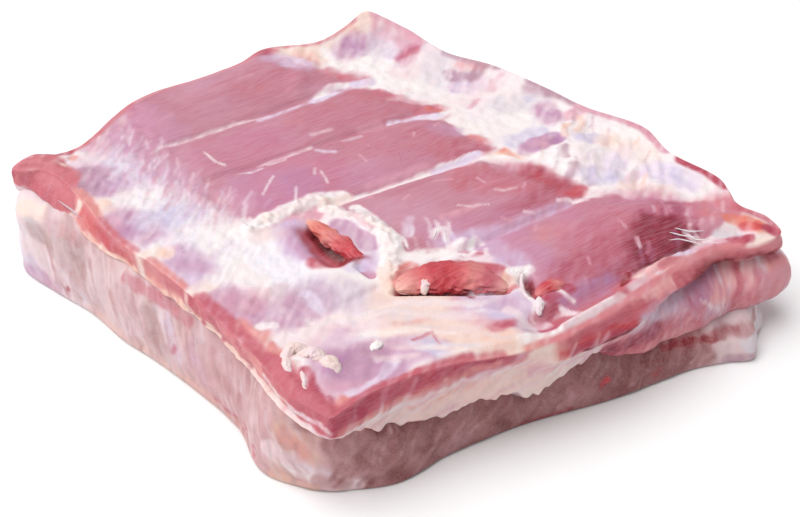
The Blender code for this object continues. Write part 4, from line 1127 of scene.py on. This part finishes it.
# The slab under the sheet: its cut sides and the flat skin side
def buildSlab(material):
    keys = profiles[:, foldKey:].copy()
    tuckIn, tuckUp = shape["slabTuck"]
    keys[:, 0] += (0, 0, tuckUp) - tuckIn * outwards
    rings, marks = smoothRows(keys, shape["slabRings"])
    deselectAll()
    bpy.ops.mesh.primitive_circle_add(vertices=around, radius=1, fill_type="NOTHING")
    slab = bpy.context.active_object
    writeColumns(slab, np.arange(around))
    bpy.ops.object.mode_set(mode="EDIT")
    bpy.ops.mesh.select_all(action="SELECT")
    bpy.ops.mesh.edge_face_add()
    bpy.ops.mesh.select_mode(type="EDGE")
    columns = extrudeRings(slab, shape["slabRings"] - 1)
    points, mark = ringPoints(rings, marks, columns)
    fromTable, fromFold = shape["slabRoughIn"]
    points = roughen(points, columns, smooth(points[:, 2] / fromTable) * smooth(mark / fromFold), True)
    points[:, 2] = np.maximum(points[:, 2], 0)
    writePoints(slab, points)
    addPaint(slab, paintSlab(points, edgePlaces[columns]))
    turnOutwards()
    return finishPiece(slab, "lowerSlab", material)


# Strips lying on top: half width, half height, grooves, tones, path of (x, y, z)
strips = {
    "slitRolls": (
        (4.4, 3.4, 0.24, ("peach", "orange", "salmon", "red", "red", "darkRed"), (-37, 6, 46.6),
         (-36, -4, 46.2), (-33.8, -19, 45.2), (-32, -38, 44.6)),
        (9.5, 4.4, 0.18, ("peach", "salmon", "red", "red", "salmon", "rose", "peach"),
         (-34, -54, 45.4), (-23, -56, 46), (-11, -61, 46), (-1, -69, 45.4), (7, -81, 44.6)),
        (3.8, 2.8, 0.16, ("salmon", "red", "salmon", "rose"), (11, -92, 45.6), (18, -92, 46.4),
         (27, -95, 45.2)),
    ),
    "fatKnobs": (
        (2.2, 1.8, 0.2, ("pinkWhite", "cream"), (-98, -76, 45.6), (-97, -70, 47.2), (-94, -64, 47.2)),
        (2.8, 2.2, 0.2, ("pinkWhite", "cream", "pinkWhite"), (-97, -66, 46.4), (-90, -63, 48),
         (-84, -69, 46.6)),
        (3.4, 2.4, 0.2, ("cream", "pinkWhite", "cream"), (-91, -65, 46), (-85, -71, 48.2),
         (-83, -79, 46.2)),
        (3.6, 2.4, 0.2, ("pinkWhite", "cream", "pinkWhite"), (-86, -72, 46), (-83, -79, 47.6),
         (-85, -87, 45.4)),
        (1.2, 1, 0.3, ("cream", "pinkWhite"), (-93, -68, 47.2), (-94, -76, 47), (-98, -84, 46)),
        (0.8, 0.7, 0.3, ("cream", "pinkWhite"), (-97, -80, 46.6), (-99, -87, 46.2), (-100, -93, 45.6)),
        (2, 1.3, 0.3, ("peach", "pinkWhite", "cream"), (-20, -59, 48.6), (-23.5, -62, 48.2),
         (-26, -65, 46)),
        (2.2, 1.3, 0.3, ("white", "white", "white"), (-67, -82, 47), (-62, -81, 47.9), (-57, -80, 47)),
        (2, 1.2, 0.3, ("white", "white", "pinkWhite"), (8, -73, 45.4), (13, -75, 46.2), (21, -78, 45.2)),
        (1.9, 1.4, 0.3, ("white", "pinkWhite"), (11, -94, 46.6), (8, -98, 47), (4, -103, 45.8)),
    ),
    "sinewStrands": (
        (0.9, 0.8, 0.3, ("white", "pinkWhite", "white"), (16, -77, 46.6), (10, -84, 47), (7, -91, 46.8),
         (9, -97, 46.2)),
        (0.22, 0.2, 0.3, ("white", "white"), (-1, -37, 46.8), (2, -35, 47.1), (5, -32, 46.8)),
        (0.22, 0.2, 0.3, ("white", "white"), (3, -42, 46.8), (5, -38, 47.1), (8, -33, 46.8)),
        (0.35, 0.3, 0.3, ("snow", "white", "snow"), (88, -92, 46.8), (92, -97, 46.2), (98, -100, 45.6)),
        (0.35, 0.3, 0.3, ("snow", "white", "snow"), (84, -93, 46.8), (88, -98, 46.2), (93, -102, 45.4)),
        (0.3, 0.3, 0.3, ("snow", "white", "snow"), (80, -97, 46.8), (85, -99, 46.2), (90, -105, 45.4)),
        (0.3, 0.3, 0.3, ("snow", "white", "snow"), (90, -98, 46.4), (91, -103, 45.8), (97, -106, 45.4)),
    ),
}
stripLook = {
    "segments": 40, "rings": 56, "grooveSize": 1.1, "lumpSize": 4.5,
    "leanStretch": 4,                  # lean strips are fibrous along their length, fat ones crumbly
    # Crimson over the lean strips, following the groove noise, is painted shade; peach follows the lumps.
    "grooveShade": ("crimson", 0.32, 0.5), "lumpTone": ("peach", 0.15, -0.2), "toneContrast": 1.6,
}


# One strip: a ball drawn out along its path, with grooves and lumps
def buildStrip(halfWidth, halfHeight, grooves, tones, path, seed):
    look = stripLook
    deselectAll()
    bpy.ops.mesh.primitive_uv_sphere_add(segments=look["segments"], ring_count=look["rings"], radius=1)
    strip = bpy.context.active_object
    unit = readPoints(strip)
    share = np.arccos(np.clip(unit[:, 2], -1, 1)) / math.pi
    turn = np.arctan2(unit[:, 1], unit[:, 0])
    stations, station = np.unique(share.round(4), return_inverse=True)
    line = [Vector(p) for p in path]
    centres = np.array([tuple(sideCurve(line, at)) for at in stations])
    along = np.gradient(centres, axis=0)
    along /= np.linalg.norm(along, axis=1)[:, None]
    across = np.cross(along, (0, 0, 1))
    across /= np.linalg.norm(across, axis=1)[:, None]
    body = np.sqrt(np.sin(math.pi * share))[:, None]
    length = sum((b - a).length for a, b in zip(line, line[1:]))
    keys = asRows(tones)
    stretch = 1 + look["leanStretch"] * float(keys[:, 3].mean())
    sideways, upwards = halfWidth * np.cos(turn), halfWidth * np.sin(turn)
    rough = noiseAt(sideways, upwards, share * length / stretch, look["grooveSize"], seed)
    lumps = noiseAt(sideways, upwards, share * length, look["lumpSize"], seed + 5)
    swell = (1 + grooves * (rough + lumps))[:, None] * body
    points = centres[station] + across[station] * halfWidth * np.cos(turn)[:, None] * swell
    points[:, 2] += (halfHeight * np.sin(turn)[:, None] * swell)[:, 0]
    tints = np.stack([np.interp(share, np.linspace(0, 1, len(keys)), keys[:, c]) for c in range(4)], 1)
    # Lays crimson painted shade by the groove noise and peach by the lump noise, on the lean share.
    for (tone, strength, start), form in ((look["grooveShade"], rough), (look["lumpTone"], lumps)):
        spot = (tints[:, 3] * smooth(start + look["toneContrast"] * form))[:, None]
        tints += strength * spot * (asRows([tone]) - tints)
    writePoints(strip, points)
    addPaint(strip, tints)
    turnOutwards()
    return strip


def buildStrips(name, material):
    pieces = [buildStrip(*row[:4], row[4:], 3.0 + 2 * i) for i, row in enumerate(strips[name])]
    deselectAll()
    for piece in pieces:
        piece.select_set(True)
    bpy.context.view_layer.objects.active = pieces[0]
    bpy.ops.object.join()
    return finishPiece(pieces[0], name, material)


# Materials
def newGroup(name, inputs, outputs):
    group = bpy.data.node_groups.new(name, "ShaderNodeTree")
    for label, kind, value in inputs:
        socket = group.interface.new_socket(label, in_out="INPUT", socket_type=kind)
        if value is not None:
            socket.default_value = value
    for label in outputs:
        group.interface.new_socket(label, in_out="OUTPUT", socket_type="NodeSocketFloat")
    return group, group.nodes.new("NodeGroupInput"), group.nodes.new("NodeGroupOutput")


# Links a value or a socket to an input
def feed(tree, socket, value):
    if isinstance(value, bpy.types.NodeSocket):
        tree.links.new(value, socket)
    else:
        socket.default_value = value


def mathNode(tree, operation, a, b=0.0, c=0.0):
    node = tree.nodes.new("ShaderNodeMath")
    node.operation = operation
    for socket, value in zip(node.inputs, (a, b, c)):
        feed(tree, socket, value)
    return node.outputs[0]


def noiseNode(tree, vector, scale, detail=4.0, roughness=0.55, distortion=0.0):
    node = tree.nodes.new("ShaderNodeTexNoise")
    feed(tree, node.inputs["Vector"], vector)
    feed(tree, node.inputs["Scale"], scale)
    node.inputs["Detail"].default_value = detail
    node.inputs["Roughness"].default_value = roughness
    node.inputs["Distortion"].default_value = distortion
    return node.outputs["Fac"]


# Spreads a value from low..high over 0..1, softly
def spread(tree, value, low, high):
    node = tree.nodes.new("ShaderNodeMapRange")
    node.interpolation_type = "SMOOTHSTEP"
    for label, number in (("Value", value), ("From Min", low), ("From Max", high)):
        feed(tree, node.inputs[label], number)
    return node.outputs["Result"]


def mixColour(tree, share, a, b, blend="MIX"):
    node = tree.nodes.new("ShaderNodeMix")
    node.data_type = "RGBA"
    node.blend_type = blend
    feed(tree, node.inputs[0], share)
    feed(tree, node.inputs[6], a)
    feed(tree, node.inputs[7], b)
    return node.outputs[2]


def turned(tree, vector, rotation, scale):
    node = tree.nodes.new("ShaderNodeMapping")
    feed(tree, node.inputs["Vector"], vector)
    node.inputs["Rotation"].default_value = rotation
    node.inputs["Scale"].default_value = scale
    return node.outputs["Vector"]


finish = {
    "strandTone": (0.84, 0.70, 0.75, 1), "strandShare": 0.1, "strandScale": (60, 620, 400),
    "strandBump": 0.25, "threadTone": (0.86, 0.72, 0.78, 1), "threadShare": 0.09,
    "threadScale": (110, 1500, 900), "fibreBend": (0.0, 0.004, 0.002), "fibreBendScale": 60.0,
    "crumbTone": (0.90, 0.82, 0.84, 1), "crumbShare": 0.22, "crumbScale": 420.0, "crumbBump": 0.42,
    "speckScale": 1100.0, "speckBump": 0.12, "cloudScale": 60.0, "warmTone": (1.0, 0.95, 0.93, 1),
    "coolTone": (0.95, 0.93, 1.0, 1), "hueShare": 0.35, "hueScale": 70.0, "roughness": (0.27, 0.2),
    "bumpStrength": 0.4, "bumpDistance": 0.0006, "specular": 0.26, "subsurface": 0.12,
    "subsurfaceRadius": (1.0, 0.45, 0.35), "subsurfaceScale": 0.003,
}
groupInputs = [("Vector", "NodeSocketVector", None), ("Size", "NodeSocketFloat", 1.0)]


# Long fibres of lean flesh: broad strands and fine threads
def fibreGroup():
    group, start, end = newGroup("meatFibres", groupInputs, ["Strands", "Threads"])
    scaled = group.nodes.new("ShaderNodeVectorMath")
    scaled.operation = "SCALE"
    group.links.new(start.outputs["Vector"], scaled.inputs[0])
    group.links.new(start.outputs["Size"], scaled.inputs["Scale"])
    bend = noiseNode(group, scaled.outputs[0], finish["fibreBendScale"], 1.0)
    along = group.nodes.new("ShaderNodeVectorMath")
    along.operation = "MULTIPLY_ADD"
    group.links.new(bend, along.inputs[0])
    along.inputs[1].default_value = finish["fibreBend"]
    group.links.new(scaled.outputs[0], along.inputs[2])
    strands, threads = [turned(group, along.outputs[0], (0, 0, 0), finish[label])
                        for label in ("strandScale", "threadScale")]
    strands = noiseNode(group, strands, 1.0, 3.0, 0.6)
    threads = noiseNode(group, threads, 1.0, 2.0, 0.5)
    group.links.new(spread(group, strands, 0.34, 0.68), end.inputs["Strands"])
    group.links.new(spread(group, threads, 0.34, 0.68), end.inputs["Threads"])
    return group


# Fat: soft crumbs and small specks
def fatGroup():
    group, start, end = newGroup("fatCrumb", groupInputs, ["Crumbs", "Specks", "Clouds"])
    scale = [mathNode(group, "MULTIPLY", start.outputs["Size"], finish[label])
             for label in ("crumbScale", "speckScale", "cloudScale")]
    crumbs = noiseNode(group, start.outputs["Vector"], scale[0], 3.0, 0.6, 0.4)
    specks = noiseNode(group, start.outputs["Vector"], scale[1], 2.0, 0.6)
    clouds = noiseNode(group, start.outputs["Vector"], scale[2], 4.0, 0.6, 0.5)
    for value, label in ((crumbs, "Crumbs"), (specks, "Specks"), (clouds, "Clouds")):
        group.links.new(spread(group, value, 0.3, 0.7), end.inputs[label])
    return group


groups = {"fibres": fibreGroup(), "fat": fatGroup()}


def useGroup(tree, name, vector, size=1.0):
    node = tree.nodes.new("ShaderNodeGroup")
    node.node_tree = groups[name]
    feed(tree, node.inputs["Vector"], vector)
    feed(tree, node.inputs["Size"], size)
    return node.outputs


# Painted flesh: fibres where it is lean, crumbs where it is fat
def fleshMaterial(name, fibreTurn):
    material = bpy.data.materials.new(name)
    material.use_nodes = True
    tree = material.node_tree
    shader = tree.nodes["Principled BSDF"]
    coords = tree.nodes.new("ShaderNodeTexCoord").outputs["Object"]
    painted = {}
    for layer in ("tint", "lean"):
        painted[layer] = tree.nodes.new("ShaderNodeAttribute")
        painted[layer].attribute_name = layer
    lean = painted["lean"].outputs["Fac"]
    fatty = mathNode(tree, "SUBTRACT", 1.0, lean)
    fibres = useGroup(tree, "fibres", turned(tree, coords, fibreTurn, (1, 1, 1)))
    fat = useGroup(tree, "fat", coords)
    wide = noiseNode(tree, coords, finish["hueScale"], 5.0, 0.6, 0.4)

    def share(a, b, amount):
        return mathNode(tree, "MULTIPLY", mathNode(tree, "MULTIPLY", a, b), finish[amount])

    base = painted["tint"].outputs["Color"]
    base = mixColour(tree, share(lean, fibres["Strands"], "strandShare"), base, finish["strandTone"],
                     "MULTIPLY")
    base = mixColour(tree, share(lean, fibres["Threads"], "threadShare"), base, finish["threadTone"])
    base = mixColour(tree, share(fatty, fat["Crumbs"], "crumbShare"), base, finish["crumbTone"], "MULTIPLY")
    hue = mixColour(tree, spread(tree, wide, 0.35, 0.65), finish["warmTone"], finish["coolTone"])
    base = mixColour(tree, finish["hueShare"], base, hue, "MULTIPLY")
    tree.links.new(base, shader.inputs["Base Color"])

    height = share(lean, fibres["Strands"], "strandBump")
    height = mathNode(tree, "ADD", height, share(fatty, fat["Crumbs"], "crumbBump"))
    height = mathNode(tree, "MULTIPLY_ADD", fat["Specks"], finish["speckBump"], height)
    bump = tree.nodes.new("ShaderNodeBump")
    bump.inputs["Strength"].default_value = finish["bumpStrength"]
    bump.inputs["Distance"].default_value = finish["bumpDistance"]
    tree.links.new(height, bump.inputs["Height"])
    tree.links.new(bump.outputs["Normal"], shader.inputs["Normal"])
    low, span = finish["roughness"]
    tree.links.new(mathNode(tree, "MULTIPLY_ADD", fat["Clouds"], span, low), shader.inputs["Roughness"])
    shader.inputs["Specular IOR Level"].default_value = finish["specular"]
    shader.inputs["Subsurface Weight"].default_value = finish["subsurface"]
    shader.inputs["Subsurface Radius"].default_value = finish["subsurfaceRadius"]
    shader.inputs["Subsurface Scale"].default_value = finish["subsurfaceScale"]
    return material


slabFibreTurn = (0, math.radians(-65), math.radians(90))    # its fibres stand almost upright
sheetFlesh = fleshMaterial("ribSheetFlesh", (0, 0, 0))
print("belly: building the rib sheet")
buildSheet(sheetFlesh)
print("belly: building the lower slab")
buildSlab(fleshMaterial("slabFlesh", slabFibreTurn))
print("belly: building the rolls, knobs and strands")
for stripName in strips:
    buildStrips(stripName, sheetFlesh)


# Floor, lights and camera
stage = {
    "azimuth": -36, "elevation": 38, "lens": 85, "distance": 0.8307,
    "target": (-0.005, -0.0188, 0.0264),           # in the plan tables' own frame, in metres
    "floorSize": 8.0, "floorWhite": 0.93, "floorRoughness": 0.9, "floorDrop": 0.0004,
    "worldLight": 0.42, "lightAim": (0, 0, 0.02),
    # name, where it shines from, strength, width in degrees
    "suns": (("overheadSoftbox", (-0.35, 0.45, 1.5), 2.3, 66), ("leftSoftbox", (-1.5, 0.0, 0.75), 0.6, 60)),
    # name, place, size, watts
    "areaLights": (("sheenPanel", (-0.6, 1.2, 0.9), 0.5, 2.5),),
}

bpy.ops.mesh.primitive_plane_add(size=stage["floorSize"], location=(0, 0, -stage["floorDrop"]))
floor = bpy.context.active_object
floor.name = "whiteTable"
floorMaterial = bpy.data.materials.new("whiteTable")
floorMaterial.use_nodes = True
floorShader = floorMaterial.node_tree.nodes["Principled BSDF"]
floorShader.inputs["Base Color"].default_value = (stage["floorWhite"],) * 3 + (1,)
floorShader.inputs["Roughness"].default_value = stage["floorRoughness"]
floor.data.materials.append(floorMaterial)
floor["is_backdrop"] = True

world = bpy.data.worlds.new("studio")
bpy.context.scene.world = world
world.use_nodes = True
world.node_tree.nodes["Background"].inputs["Color"].default_value = (1, 1, 1, 1)
world.node_tree.nodes["Background"].inputs["Strength"].default_value = stage["worldLight"]


def aimAtBelly(light, place):
    light.rotation_euler = (Vector(stage["lightAim"]) - Vector(place)).to_track_quat("-Z", "Y").to_euler()


for name, place, strength, width in stage["suns"]:
    bpy.ops.object.light_add(type="SUN", location=place)
    light = bpy.context.active_object
    light.name, light.data.energy, light.data.angle = name, strength, math.radians(width)
    aimAtBelly(light, place)
for name, place, size, watts in stage["areaLights"]:
    bpy.ops.object.light_add(type="AREA", location=place)
    light = bpy.context.active_object
    light.name, light.data.size, light.data.energy = name, size, watts
    aimAtBelly(light, place)

azimuth, elevation = math.radians(stage["azimuth"]), math.radians(stage["elevation"])
back = Vector((math.sin(azimuth) * math.cos(elevation), -math.cos(azimuth) * math.cos(elevation),
               math.sin(elevation)))
aim = Vector(stage["target"]) + Vector(toFrame) * mm
bpy.ops.object.camera_add(location=aim + back * stage["distance"])
camera = bpy.context.active_object
camera.data.lens = stage["lens"]
camera.rotation_euler = (-back).to_track_quat("-Z", "Y").to_euler()
bpy.context.scene.camera = camera
bpy.context.scene.view_settings.view_transform = "Standard"

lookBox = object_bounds()
for name, box in (("cad", cadBox), ("look", lookBox)):
    print("size:", name, [round(value, 4) for corner in box for value in corner])
